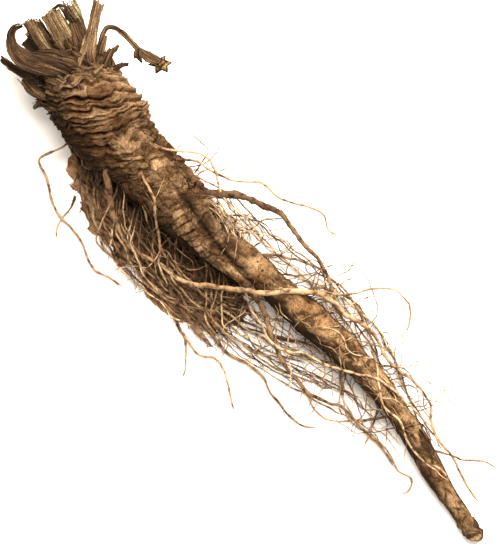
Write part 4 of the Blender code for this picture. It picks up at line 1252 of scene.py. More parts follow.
@dataclass
class Rootlets:
    """Every side root, rootlet and fibre that leaves the taproot."""

    taproot: Taproot
    low_sweeps: Brood = Brood(17, (-52, -12), (26, 75), (0.13, 0.32))
    low_curls: Brood = Brood(38, (-56, 45), (14, 42), (0.1, 0.22))
    high_sweeps: Brood = Brood(3, (-46, 40), (20, 60), (0.12, 0.26))
    high_curls: Brood = Brood(84, (-46, 58), (10, 34), (0.12, 0.24))
    tail_sweeps: Brood = Brood(9, (-10, 44), (14, 34), (0.12, 0.24))
    skin_threads: Brood = Brood(24, (-44, 70), (6, 20), (0.1, 0.18))
    skin_rootlets: Brood = Brood(16, (-8, 66), (9, 26), (0.16, 0.24))
    skin_hairs: Brood = Brood(28, (-74, 80), (3, 8), (0.06, 0.1))
    low_felt: Brood = Brood(370, (-60, 0), (5, 16), (0.07, 0.13))
    high_felt: Brood = Brood(30, (-40, 20), (5, 16), (0.07, 0.13))
    net_fibres: Brood = Brood(34, (-31, -22), (7, 17), (0.13, 0.13))
    draw: random.Random = field(default_factory=lambda: random.Random(41))
    noise: Noise = field(default_factory=lambda: Noise(8))

    def strand(
        self, rows: Any, gap: float, tone: float, kink: float, thin: float = 1.0, base: float = 0.45
    ) -> Strand:
        """Makes a rootlet from a route: close points with small kinks, kept over the floor.

        Args:
            rows: Points with a radius each.
            gap: Distance between its close points.
            tone: Its tone.
            kink: How far it strays from the smooth route.
            thin: What its radius is multiplied by.
            base: What its radius is multiplied by where it starts.

        Returns:
            The rootlet.
        """
        close = dense_route(rows, gap)
        key = self.draw.uniform(0, 500)
        along = lengths_along(close[:, :3])
        free = smoothstep(0.0, 4.0, along)
        for axis, share in ((0, 0.6), (1, 1.0), (2, 0.5)):
            close[:, axis] += share * kink * free * self.noise.rough(along / 4.5, key, 3.0 * axis, 2)
        close[:, 3] *= thin * (1 - 0.75 * smoothstep(along[-1] - 3.0, along[-1], along))
        close[:, 3] *= base + (1 - base) * smoothstep(0.0, 4.0, along)
        close[:, :3] = np.clip(close[:, :3], LOW, HIGH)
        close[:, 2] = np.maximum(close[:, 2], close[:, 3] * 1.4)
        # Painted shade: rootlets low down beside the body's underside are darkened
        across, _, trunk = self.taproot.axis_at(close[:, 0])
        away = across - close[:, 1] - trunk
        near = smoothstep(-1.0, -0.3, away / trunk) * (1 - smoothstep(2.0, 8.5, away))
        low = 1 - smoothstep(8.0, 11.5, close[:, 2])
        return Strand(close, tone, near * within((-62.0, -54.0, -14.0, -2.0), close[:, 0]) * low)

    def trunk_at(self, along: float) -> tuple[float, ...]:
        """The taproot's across, height and radius at one place along it."""
        return tuple(float(value) for value in self.taproot.axis_at(along))

    def side_roots(self) -> list[Strand]:
        """The side roots and long rootlets that show one by one."""
        strands = []
        for name, route in SIDE_ROOTS.items():
            rows = np.array(route[RIDGE_STATIONS - 2 :] if name == "front_ridge" else route, float)
            stout = smoothstep(0.35, 0.9, rows[:, 3])
            rows[:, 3] *= 0.8 + 0.08 * stout
            strands.append(self.strand(rows, 0.5, TONES.get(name, USUAL_TONE), 0.35, base=1.25))
        return strands

    def fringe(self, count: int, side: int, start: Any, end: Any, bow: Any, seed: int) -> list[Strand]:
        """The rootlets that the source draws by a rule, drawn by the same rule.

        Args:
            count: How many.
            side: 1 for the upper flank, -1 for the lower.
            start: From where to where they leave the taproot.
            end: From where to where they end.
            bow: How far they bow out.
            seed: The rule's seed.

        Returns:
            The rootlets.
        """
        draw = random.Random(seed)
        strands = []
        for i in range(count):
            share = (i + 0.5) / count
            first = start[0] + (start[1] - start[0]) * share + draw.uniform(-2.0, 2.0)
            last = max(draw.uniform(*end), first + 22.0)
            out = draw.uniform(*bow)
            drift = draw.uniform(-3.0, 3.0)
            phase = draw.uniform(0, TURN)
            across, height, radius = self.trunk_at(first)
            route = [(first, across + side * 0.7 * radius, height, 0.38)]
            for k in range(1, 8):
                t = k / 7
                along = first + (last - first) * t
                across, height, radius = self.trunk_at(along)
                reach = 0.95 * radius + out * math.sin(math.pi * min(1.0, 0.08 + 0.86 * t)) ** 0.9
                sway = 0.9 * math.sin(5.2 * t + phase) * min(1.0, 3 * t)
                z = max(0.55, height * (1 - t) ** 1.4 + 1.6 * t * math.sin(3.1 * t + phase))
                route.append((along, across + side * reach + sway + drift * t, z, 0.38))
            # Painted shade: rootlets on the lower flank near the neck are made darker
            tone = self.draw.uniform(0.3, 1.0) * (0.55 if side < 0 and share < 0.4 else 1.0)
            strands.append(self.strand(route, 0.6, tone, 0.6, self.draw.uniform(0.4, 0.8)))
        return strands

    def sweeping(self, corridor: Corridor, brood: Brood) -> list[Strand]:
        """Rootlets that leave the flank and run along a corridor towards the tip.

        Args:
            corridor: Where they run.
            brood: Their number and ranges.

        Returns:
            The rootlets.
        """
        strands = []
        for _ in range(brood.count):
            first = self.draw.uniform(*brood.start)
            last = min(first + self.draw.uniform(*brood.length), corridor.along[-1] + 12)
            lane, lane_end = self.draw.random(), self.draw.random()
            leave = self.draw.uniform(9.0, 20.0)
            rest, phase = self.draw.uniform(0.3, 4.5), self.draw.uniform(0, TURN)
            thick, sway = self.draw.uniform(*brood.radius), self.draw.uniform(0.4, 2.0)
            root_height = self.draw.uniform(-0.5, 0.35)
            rows = []
            stops = int((last - first) / 4) + 3
            for k in range(stops):
                t = k / (stops - 1)
                along = first + (last - first) * t**1.15
                across, height, trunk = self.trunk_at(along)
                ease = float(smoothstep(0.0, leave, along - first))
                flank = across + corridor.side * 0.8 * trunk
                lane_here = corridor.lane(along, lane + (lane_end - lane) * t)
                y = flank * (1 - ease) + float(lane_here) * ease + sway * math.sin(7 * t + phase) * ease
                fall = (1 - smoothstep(0.0, 0.55, t)) * (height + root_height * trunk)
                z = float(fall) + rest * (0.6 + 0.4 * math.sin(5 * t + phase)) * (1 - 0.6 * t)
                rows.append((along, y, max(z, 0.3), thick * (1 - 0.45 * t)))
            # Painted shade: rootlets that rest lower are made darker
            tone = min(1.0, 0.15 + 0.65 * self.draw.random() + 0.06 * rest)
            strands.append(self.strand(rows, 0.7, tone, 0.55))
        return strands

    def walk(
        self, start: Any, heading: float, length: float, radius: float, tone: float, sink: float = -0.01
    ) -> Strand:
        """A fine fibre that wanders from a place.

        Args:
            start: Where it starts.
            heading: Which way it sets out in plan, in radians.
            length: How long it is.
            radius: Its radius where it starts.
            tone: Its tone.
            sink: How fast it comes down to the floor.

        Returns:
            The fibre.
        """
        step = 1.1
        curl = self.draw.gauss(0.0, 0.1)
        climb = self.draw.gauss(0.0, 0.1)
        place = np.array(start, float)
        rows = [(*place, radius)]
        count = max(3, int(length / step))
        for k in range(count):
            heading += curl + self.draw.gauss(0.0, 0.3)
            climb = 0.8 * climb + self.draw.gauss(sink, 0.06)
            place = place + step * np.array([math.cos(heading), math.sin(heading), climb])
            place[2] = max(place[2], radius)
            rows.append((*place, radius * (1 - 0.6 * (k + 1) / count)))
        return self.strand(rows, 0.8, tone, 0.12)

    def curls(self, side: int, brood: Brood) -> list[Strand]:
        """Thin rootlets that leave one flank and wander off beside it.

        Args:
            side: 1 for the upper flank, -1 for the lower.
            brood: Their number and ranges.

        Returns:
            The rootlets.
        """
        strands = []
        for _ in range(brood.count):
            along = self.draw.uniform(*brood.start)
            across, height, trunk = self.trunk_at(along)
            spot = np.array([along, across + 0.8 * side * trunk, height * self.draw.uniform(0.6, 1.3)])
            heading = side * self.draw.uniform(-0.1, 1.2)
            thick, tone = self.draw.uniform(*brood.radius), self.draw.uniform(0.25, 0.95)
            length = self.draw.uniform(*brood.length)
            strands.append(self.walk(spot, heading, length, thick, tone, sink=-0.03))
        return strands

    def branchlets(self, parents: Sequence[Strand], count: int, length: Any, radius: Any) -> list[Strand]:
        """Fine branches off other rootlets.

        Args:
            parents: The rootlets that they leave.
            count: How many.
            length: Their least and greatest length.
            radius: Their least and greatest radius.

        Returns:
            The branches.
        """
        weights = [len(parent.rows) for parent in parents]
        strands = []
        for parent in self.draw.choices(parents, weights, k=count):
            at = self.draw.randrange(len(parent.rows) // 6, len(parent.rows) - 2)
            ahead = parent.rows[at + 1, :2] - parent.rows[at - 1, :2]
            heading = math.atan2(ahead[1], ahead[0])
            heading += self.draw.choice((-1, 1)) * self.draw.uniform(0.15, 0.8)
            thick = min(self.draw.uniform(*radius), 0.8 * float(parent.rows[at, 3]))
            tone = min(1.0, max(0.1, parent.tone + self.draw.uniform(-0.2, 0.15)))
            strands.append(self.walk(parent.rows[at, :3], heading, self.draw.uniform(*length), thick, tone))
        return strands

    def creeping(self, brood: Brood, turns: tuple[float, float], step: float = 0.8) -> list[Strand]:
        """Thin rootlets that lie on the taproot's own skin.

        Args:
            brood: Their number and ranges.
            turns: Between which angles round the root they start, in radians.
            step: Distance between their points.

        Returns:
            The rootlets.
        """
        strands = []
        for _ in range(brood.count):
            along, turn = self.draw.uniform(*brood.start), self.draw.uniform(*turns)
            heading = self.draw.gauss(0.0, 0.95)
            thick = self.draw.uniform(*brood.radius)
            places = []
            for _ in range(max(4, int(self.draw.uniform(*brood.length) / step))):
                places.append((along, turn))
                heading = 0.97 * heading + self.draw.gauss(0.0, 0.22)
                trunk = float(self.taproot.axis_at(along)[2])
                along = min(along + step * math.cos(heading), 88.0)
                turn += step * math.sin(heading) / max(trunk, 1.0)
            spots = np.array(places)
            points, _ = self.taproot.surface(spots[:, 0], spots[:, 1])
            middle = np.stack(self.taproot.axis_at(spots[:, 0])[:2], axis=-1)
            out = points[:, 1:] - middle
            reach = np.linalg.norm(out, axis=1, keepdims=True)
            width = max(3, min(7, len(reach) // 2))
            smooth = np.convolve(np.pad(reach[:, 0], width // 2, mode="edge"), np.ones(width) / width, "same")
            smooth = smooth[width // 2 : width // 2 + len(reach)]
            raised = np.maximum(smooth, reach[:, 0] - 0.1) + 0.8 * thick
            points[:, 1:] = middle + out / reach * raised[:, None]
            rows = np.column_stack([points, np.linspace(thick, 0.5 * thick, len(points))])
            strands.append(self.strand(rows, 0.6, self.draw.uniform(0.55, 1.0), 0.05))
        return strands

    def felt(self, corridor: Corridor, shares: tuple[float, float], brood: Brood) -> list[Strand]:
        """The finest fibres, which lie in a loose felt low down among the rootlets.

        Args:
            corridor: Where they lie.
            shares: Their least and greatest lane in the corridor.
            brood: Their number and ranges.

        Returns:
            The fibres.
        """
        strands = []
        for _ in range(brood.count):
            along = self.draw.uniform(*brood.start)
            across = float(corridor.lane(along, self.draw.uniform(*shares)))
            spot = np.array([along, across, self.draw.uniform(0.2, 4.0)])
            heading = self.draw.gauss(0.0, 0.45)
            length, radius = self.draw.uniform(*brood.length), self.draw.uniform(*brood.radius)
            strands.append(self.walk(spot, heading, length, radius, self.draw.uniform(0.2, 0.75)))
        return strands

    def net(self, brood: Brood) -> list[Strand]:
        """The pale fibres that cross the gap beside the body in long arcs."""
        strands = []
        for _ in range(brood.count):
            first = self.draw.uniform(*brood.start)
            last = first + self.draw.uniform(*brood.length)
            low, high = self.draw.uniform(2.6, 5.5), self.draw.uniform(5.0, 9.0)
            height = self.draw.uniform(7.5, 12.0)
            rows = []
            for k in range(7):
                t = k / 6
                bend = math.sin(math.pi * min(1.0, 1.25 * t))
                place = (first + (last - first) * t, low + (high - low) * bend * 0.7, height - 2.5 * t)
                rows.append((*place, brood.radius[0]))
            strands.append(self.strand(rows, 0.6, self.draw.uniform(0.85, 1.0), 0.5))
        return strands

    def build(self) -> None:
        """Builds the rootlets in a few pieces."""
        sides = self.side_roots()
        main = self.fringe(18, -1, (-63, -28), (-12, 40), (7, 16), 11)
        main += self.fringe(8, 1, (-46, 20), (0, 60), (4, 9), 23)
        lower = self.sweeping(LOWER, self.low_sweeps) + self.curls(-1, self.low_curls)
        upper = self.sweeping(UPPER, self.high_sweeps) + self.curls(1, self.high_curls)
        near = self.sweeping(LOWER, self.tail_sweeps)
        stout = [strand for strand in sides if strand.rows[:, 3].mean() < 1.0]
        branches = self.branchlets(stout + main + lower + upper + near, 190, (3.0, 13.0), (0.09, 0.16))
        twigs = self.branchlets(branches, 60, (2.0, 6.0), (0.07, 0.1))
        creeping = self.creeping(self.skin_threads, (0.2, 3.1))
        creeping += self.creeping(self.skin_rootlets, (0.6, 2.6)) + self.creeping(self.skin_hairs, (0.0, 3.3))
        felt = self.felt(LOWER, (0.0, 0.8), self.low_felt) + self.felt(UPPER, (0.0, 0.5), self.high_felt)
        for name, strands, corners in (
            ("side_roots", sides, 12),
            ("rootlets", main + lower + upper + near, 8),
            ("branchlets", branches + twigs, 6),
            ("creeping_rootlets", creeping, 6),
            ("fibre_felt", felt + self.net(self.net_fibres), 5),
        ):
            shape = Shape()
            for strand in strands:
                strand.add_to(shape, corners, self.noise)
            shape.build(name, ROOTLET.material(), Slot.BARK)


@dataclass(frozen=True)
class Mat:
    """The thin mat of root hairs and soil that lies among the rootlets below the root, and also stands in as
    painted shadow there.
    """

    outline: tuple[Row, ...] = (
        (-65, -12), (-60, -17), (-50, -21.5), (-40, -22.8), (-30, -23.8), (-18, -23.6), (-9, -23.4),
        (-3, -20), (2, -15.5), (5, -11), (2, -6), (-4, -3.5), (-12, -3), (-22, -3), (-34, -3.5),
        (-46, -4.5), (-58, -6.5),
    )
    cell: float = 0.25
    ragged: float = 2.6
    thickness: float = 1.1

    def inside(self, x: np.ndarray, y: np.ndarray) -> np.ndarray:
        """How far each place lies inside the outline, in millimetres; less than 0 outside it."""
        nearest = np.full(x.shape, np.inf)
        within_outline = np.zeros(x.shape, bool)
        for (ax, ay), (bx, by) in zip(self.outline, (*self.outline[1:], self.outline[0])):
            t = ((x - ax) * (bx - ax) + (y - ay) * (by - ay)) / ((bx - ax) ** 2 + (by - ay) ** 2)
            t = np.clip(t, 0, 1)
            nearest = np.minimum(nearest, np.hypot(x - ax - t * (bx - ax), y - ay - t * (by - ay)))
            crossed = (ay > y) != (by > y)
            within_outline ^= crossed & (x < (bx - ax) * (y - ay) / (by - ay + 1e-12) + ax)
        return np.where(within_outline, nearest, -nearest)

    def build(self, noise: Noise) -> None:
        """Builds the mat in one closed, ragged piece with holes.

        Args:
            noise: What makes it ragged and uneven.
        """
        spots = np.array(self.outline)
        low, high = spots.min(axis=0) - self.ragged, spots.max(axis=0) + self.ragged
        x, y = np.meshgrid(*(np.arange(low[k], high[k], self.cell) for k in (0, 1)), indexing="ij")
        depth = self.inside(x, y) + self.ragged * noise.rough(x / 4, y / 3, 0.0, 2)
        holes = smoothstep(0.5, 0.7, noise.rough(x / 3.4 + 50, y / 2.2, 0.0, 3))
        depth = depth - 9 * holes * (1 - smoothstep(0.5, 3.0, depth))
        warp = 1.5 * noise.rough(x / 5, y / 5, 9.0, 2)
        hairs = 1 - np.abs(noise.rough((x + warp) / 3.5, (y + warp) / 0.6, 4.0, 3))
        lumps = 0.5 + 0.5 * noise.rough(x / 3, y / 3, 2.0, 2)
        height = 0.15 + self.thickness * np.clip(depth / 5, 0, 1) * lumps
        top = np.stack([x, y, np.maximum(height + 0.35 * (hairs - 0.7), 0.1)], axis=-1).reshape(-1, 3)
        bottom = top * (1, 1, 0) + (0, 0, 0.03)
        # Painted shadow: the mat is darker towards the body
        tone = np.clip(0.1 + 0.75 * (hairs - 0.45) + 0.25 * smoothstep(-10.0, -17.0, y), 0, 1).ravel()
        solid = depth > 0
        kept = np.pad(solid[1:, 1:] & solid[:-1, :-1] & solid[1:, :-1] & solid[:-1, 1:], 1)
        number = np.arange(x.size).reshape(x.shape)
        i, j = np.nonzero(kept[1:-1, 1:-1])
        cells = np.stack([number[i, j], number[i + 1, j], number[i + 1, j + 1], number[i, j + 1]], axis=-1)
        blocks = [cells, cells[:, ::-1] + x.size]
        for (di, dj), (a, b) in (((0, -1), (0, 1)), ((1, 0), (1, 2)), ((0, 1), (2, 3)), ((-1, 0), (3, 0))):
            open_side = ~kept[i + 1 + di, j + 1 + dj]
            rim = cells[open_side][:, [a, b]]
            blocks.append(np.column_stack([rim[:, 0] + x.size, rim[:, 1] + x.size, rim[:, 1], rim[:, 0]]))
        used, compact = np.unique(np.concatenate([block.ravel() for block in blocks]), return_inverse=True)
        sizes = np.cumsum([block.size for block in blocks])[:-1]
        faces = [part.reshape(-1, 4) for part in np.split(compact.ravel(), sizes)]
        shape = Shape()
        shape.add(np.vstack([top, bottom])[used], faces, tone=np.concatenate([tone, tone])[used])
        shape.build("root_hair_and_shadow_mat", HAIR_AND_SHADOW_MAT.material(), Slot.BARK)


@dataclass(frozen=True)
class Blade:
    """A stalk, sheath or flake: a flat, ribbed outline swept along a route."""

    name: str
    rows: tuple[Row, ...]  # along, across, height, width, thickness and tilt in degrees, from the base up
    finish: Finish
    slot: Slot = Slot.STALK
    cup: float = 0.0
    rib_pitch: float = 0.85
    rib_depth: float = 0.2
    torn: float = 0.7
    hollow: float = 0.5
    stained: float = 0.3
    base_stain: float = 5.0  # how far up from its base the blade is stained
    loose: int = 5
    wave: float = 0.25
    seed: int = 1
    sides: int = 56
    gap: float = 0.35

    def add_to(self, shape: Shape) -> None:
        """Adds the blade to a shape, closed at both ends.

        Args:
            shape: The shape.
        """
        noise = Noise(self.seed)
        rows = dense_route(self.rows, self.gap)
        path = rows[:, :3]
        forward, side, lift = frames_along(path)
        side, lift = tilted(side, lift, rows[:, 5])
        half = rows[:, 3][:, None] / 2
        width, thick = np.array(self.rows, float)[:, 3:5].T
        flat = thick.mean() / width.mean()
        turn = np.linspace(0, TURN, self.sides, endpoint=False)[None]
        along = lengths_along(path)[:, None]
        edge = 1 + 0.06 * noise.rough(along / 2.5, np.cos(turn) * 0.6, 3.0, 2) * np.abs(np.cos(turn))
        x = np.cos(turn) * edge
        across = x * half
        wander = 0.5 * self.rib_pitch * noise.rough(across / 3, along / 9, 1.0, 2)
        regular = np.abs(np.cos(math.pi * (across + wander) / self.rib_pitch)) ** 1.3
        strands = 1 - np.abs(noise.rough(across / (0.8 * self.rib_pitch), along / 14, 21.0, 3))
        hair = 1 - np.abs(noise.rough(across / (0.3 * self.rib_pitch), along / 10, 31.0, 2))
        rib = np.clip(0.14 * regular + 0.75 * strands + 0.45 * hair - 0.3, 0, 1)
        face = np.sign(np.sin(turn)) * np.abs(np.sin(turn)) ** 0.6
        rough = noise.rough(across / 0.5, along / 4, 5.0, 2)
        relief = self.rib_depth * (rib - 0.6) + 0.35 * self.rib_depth * rough
        sway = self.wave * noise.rough(across / 4, along / 5, 9.0, 2) * smoothstep(0.0, 4.0, along)
        y = half * (flat * np.sin(turn) * 0.92 - self.cup * (x * x - 0.5)) + relief * face + sway
        points = path[:, None] + across[..., None] * side[:, None] + y[..., None] * lift[:, None]
        near_end = smoothstep(along[-1, 0] - 3.5, along[-1, 0], along)
        tear = self.torn * (noise.rough(across / 0.8, 0.3 * np.sign(np.sin(turn)), 2.0, 3) * 0.9 - 0.2)
        points = np.clip(points + (near_end * tear)[..., None] * forward[:, None], LOW, HIGH)
        inner = []
        middle = points[-1].mean(axis=0)
        for share, depth in ((0.82, 0.1), (0.66, self.hollow), (0.4, self.hollow * 1.1)):
            ring = middle + (points[-1] - middle) * share
            inner.append(ring - forward[-1] * depth * (1 + 0.4 * rough[-1])[:, None])
        rings = np.concatenate([points, np.array(inner)])
        ends = np.array([rings[0].mean(axis=0), rings[-1].mean(axis=0)])
        count = len(inner)
        lengthwise = np.repeat(np.append(along, np.full(count, along[-1, 0]))[:, None], self.sides, axis=1)
        sideways = np.vstack([across, np.repeat(across[-1:], count, axis=0)])
        fibre = np.stack([sideways, lengthwise, 0 * lengthwise], axis=-1)
        light = np.clip(0.25 + 0.6 * rib + 0.25 * rough, 0, 1)
        # Painted shade: the hollow at the cut end is darker, and its stain is raised there
        light = np.vstack([light, np.repeat(0.35 * light[-1:], count, axis=0)])
        patch = smoothstep(0.15, 0.6, noise.rough(across / 2.5, along / 4, 13.0, 3))
        base = 1 - smoothstep(0.0, self.base_stain, along)
        stain = np.clip(self.stained * (0.4 * patch + 0.6 * (1 - rib) * patch + 0.8 * base), 0, 0.95)
        stain = np.vstack([stain, np.repeat(stain[-1:] + 0.3, count, axis=0)])
        shape.add(
            np.vstack([rings.reshape(-1, 3), ends]),
            ring_faces(len(rings), self.sides),
            fibre=np.vstack([fibre.reshape(-1, 3), np.zeros((2, 3))]),
            rib=np.append(light.ravel(), [0.2, 0.1]),
            stain=np.append(np.clip(stain, 0, 1).ravel(), [0.5, 0.6]),
        )
        self.add_loose(shape, points, forward, noise)

    def strips(self, count: int) -> list[Blade]:
        """The blade as narrower strips side by side, the way a dried leaf base splits along its fibres.

        Args:
            count: How many.

        Returns:
            The strips.
        """
        rows = np.array(self.rows, float)
        path, width = rows[:, :3], rows[:, 3]
        _, side, lift = frames_along(path)
        side, lift = tilted(side, lift, rows[:, 5])
        made = []
        for k in range(count):
            share = 2 * (k + 0.5) / count - 1
            raised = -self.cup * (share**2 - 0.5) * width / 2 + (0.22 if k % 2 else -0.12)
            raised = raised - (1.4 if k % 2 else 0.2) * np.linspace(1, 0, len(path)) ** 4
            route = path + (0.46 * share * width)[:, None] * side + raised[:, None] * lift
            strip = tuple(map(tuple, np.column_stack([route, 1.55 * width / count, rows[:, 4:]])))
            made.append(replace(self, rows=strip, cup=0.15, seed=self.seed + 11 * k, sides=36, loose=3))
        return made

    def add_loose(self, shape: Shape, points: np.ndarray, forward: np.ndarray, noise: Noise) -> None:
        """Adds fibres that have come loose along the blade's edges and at its end.

        Args:
            shape: The shape.
            points: The blade's rings.
            forward: Which way it runs at each ring.
            noise: The blade's noise.
        """
        draw = random.Random(self.seed)
        for i in range(self.loose):
            ring = draw.randrange(len(points) // 2, len(points) - 2)
            start = points[ring, 0 if i % 2 else self.sides // 2]
            reach = draw.uniform(1.2, 3.2)
            aside = (start - points[ring].mean(axis=0)) * draw.uniform(0.05, 0.3)
            rows = [
                (*(start + forward[ring] * reach * t + aside * t * t), 0.13 * (1 - 0.6 * t))
                for t in (0, 0.35, 0.7, 1.0)
            ]
            close = dense_route(rows, 0.4)
            close[:, :3] = np.clip(close[:, :3], LOW, HIGH)
            _, side, lift = frames_along(close[:, :3])
            turn = np.linspace(0, TURN, 5, endpoint=False)
            ringed = close[:, 3][:, None, None] * np.stack([np.cos(turn), np.sin(turn)], axis=-1)[None]
            made = sweep(close[:, :3], ringed, side, lift)
            count = len(made)
            fibre = np.column_stack([np.full(count, i), np.linspace(0, reach, count), np.zeros(count)])
            shape.add(made, ring_faces(len(close), 5), fibre=fibre, rib=draw.uniform(0.4, 0.9), stain=0.1)


STALKS = (
    Blade(
        "stalk_fan_upper",
        ((-79, 4.4, 12.6, 4.8, 2.2, 0), (-86, 5.6, 14.4, 5.6, 1.9, 4), (-93.6, 7.3, 15, 5.2, 1.7, 6)),
        PALE_STRAW, seed=31, sides=80, rib_pitch=1.0,
    ),
    Blade(
        "stalk_fan_middle",
        ((-79, 1, 10.6, 2.6, 2, 0), (-86, 1.7, 11.6, 2.8, 2, -4), (-94.4, 2.9, 12, 2.8, 1.8, -6)),
        SHADED_TAN_STRAW, seed=32, stained=0.9,
    ),
    Blade(
        "stalk_fan_lower",
        ((-79, -1.2, 13.3, 2.6, 2, 0), (-87, -0.4, 14, 3, 2, 0), (-95.7, 1.4, 14.5, 3.3, 1.8, 0)),
        PALE_STRAW, seed=33, rib_depth=0.12,
    ),
    Blade(
        "stalk_back_upper",
        ((-79, 5.4, 7.4, 2.8, 2.6, 0), (-86, 6.4, 8.6, 3.2, 2.4, 20), (-92.6, 6.4, 9.8, 3.4, 2, 30)),
        SHADED_TAN_STRAW, seed=34, stained=0.8,
    ),
    Blade(
        "stalk_back_lower",
        ((-79, -0.6, 6.6, 3, 2.6, 0), (-87, -0.6, 7.6, 3.2, 2.6, -20), (-94, -0.2, 8.6, 3.2, 2.2, -30)),
        SHADED_TAN_STRAW, seed=35, stained=0.9,
    ),
    Blade(
        "flower_stalk_stub",
        ((-79, 9.2, 9.2, 2.6, 2.6, 0), (-84.5, 10.4, 9.8, 3, 2.8, 0), (-88, 11.4, 10.6, 4.2, 3.8, 0),
         (-92.2, 12.4, 11.2, 5.2, 4.6, 0)), GREEN_STRAW, seed=36, hollow=3.0, torn=1.2, rib_depth=0.1,
        base_stain=11.0, stained=0.8,
    ),
    Blade(
        "stalk_tall",
        ((-75.4, 5.8, 17.2, 2.2, 1.6, 0), (-78.4, 7.8, 19.4, 4.4, 1.5, 10),
         (-81.2, 11.4, 18.4, 3.4, 1.5, 15), (-84, 15, 17.2, 2.9, 1.4, 10),
         (-86.8, 18.8, 16.2, 3.1, 1.2, 0)), ROSY_STRAW, seed=37, torn=1.6, rib_pitch=1.2,
    ),
    Blade(
        "leaf_base_scroll",
        ((-75.6, 0.6, 19, 2.8, 1.2, 0), (-78.8, 0.9, 20.9, 5.6, 1.2, 4),
         (-82.2, -0.8, 20.9, 7.4, 1.2, 14), (-85.8, -3.7, 19.4, 7.6, 1.2, 30),
         (-89.2, -5.6, 17, 7.4, 1.2, 50), (-92.6, -6.2, 14.2, 7.2, 1.1, 68),
         (-95.8, -5.4, 12.4, 6.2, 1, 80), (-97.3, -3, 11.6, 4.8, 0.9, 88),
         (-96.9, -0.9, 11.2, 3.2, 0.9, 90)), SCROLL_STRAW, cup=0.35, seed=38, rib_pitch=0.9, rib_depth=0.25,
        base_stain=10.0, stained=0.75, wave=0.5, torn=1.6,
    ),
    Blade(
        "leaf_base_flake",
        ((-75.5, -5.6, 13.6, 2.8, 1, 40), (-78.4, -8.2, 13.6, 5, 1, 46),
         (-81.6, -9.4, 12.6, 5.8, 0.9, 50), (-84.6, -9.2, 11.2, 5, 0.9, 54)), SHADED_TAN_STRAW, cup=0.3, seed=39,
        rib_depth=0.1, stained=0.2,
    ),
    Blade(
        "stub_pale_tip",
        ((-71, 6.6, 13.4, 2.2, 1.7, 0), (-70.6, 11, 14.2, 1.7, 1.3, 0), (-69.4, 13.6, 14.6, 0.8, 0.7, 0)),
        SHADED_TAN_STRAW, seed=40, sides=32, loose=2,
    ),
    Blade(
        "stalk_under_upper",
        ((-78.5, 6.6, 4.6, 2.4, 1.8, 0), (-84, 8.4, 4.2, 2.6, 1.6, -10), (-89.4, 9.6, 4.6, 2.4, 1.4, -20)),
        SHADED_TAN_STRAW, seed=41, sides=40,
    ),
    Blade(
        "stalk_under_lower",
        ((-79, 0, 2.8, 2.6, 1.6, 0), (-85, 0.4, 2.6, 3, 1.6, 0), (-90.6, 0.6, 3, 2.6, 1.4, 0)), SHADED_TAN_STRAW,
        seed=42, sides=40,
    ),
    Blade(
        "stalk_dark_lower",
        ((-77, -5, 7.4, 2.6, 1.4, 10), (-83, -7.4, 7.6, 2.8, 1.2, 10), (-89, -9.8, 7.6, 2.4, 1, 25),
         (-94.2, -10.8, 8.2, 1.8, 0.9, 40)), WITHERED_LEAF, Slot.WITHERED, seed=43,
    ),
    Blade(
        "stub_dark_upper",
        ((-73.6, 6.4, 12.6, 2.2, 2, 0), (-74.4, 11, 13.4, 1.8, 1.5, 0), (-74.8, 15.2, 14, 0.9, 0.8, 0)),
        WITHERED_LEAF, Slot.WITHERED, seed=44, sides=32, loose=3,
    ),
    Blade(
        "stub_brown_lower",
        ((-76.6, -7, 9.8, 2.2, 2, 0), (-77.6, -10.4, 9.6, 2, 1.6, 0), (-77.9, -13, 9.4, 1.1, 1, 0)),
        WITHERED_LEAF, Slot.WITHERED, seed=45, sides=32, loose=2,
    ),
)
HOOKED = Blade(
    "stalk_hooked",
    ((-77, 8.4, 14.8, 1.5, 1.4, 0), (-78.2, 11.6, 14.8, 1.5, 1.3, 0), (-79.8, 14.2, 14.8, 1.4, 1.2, 0),
     (-80.2, 16.2, 14.8, 1.4, 1.1, 0), (-78.4, 17.7, 14.8, 1.4, 1.1, 0), (-74.6, 18.3, 14.4, 1.5, 1.1, 0),
     (-70.8, 18.3, 13.7, 1.6, 1, 0), (-67.2, 19, 13.1, 2.8, 0.9, 0), (-64, 20.4, 12.8, 2, 0.8, 0)),
    HOOK_STRAW, Slot.WITHERED, seed=46, rib_pitch=0.55, rib_depth=0.3, sides=36, loose=6, stained=0.8,
)
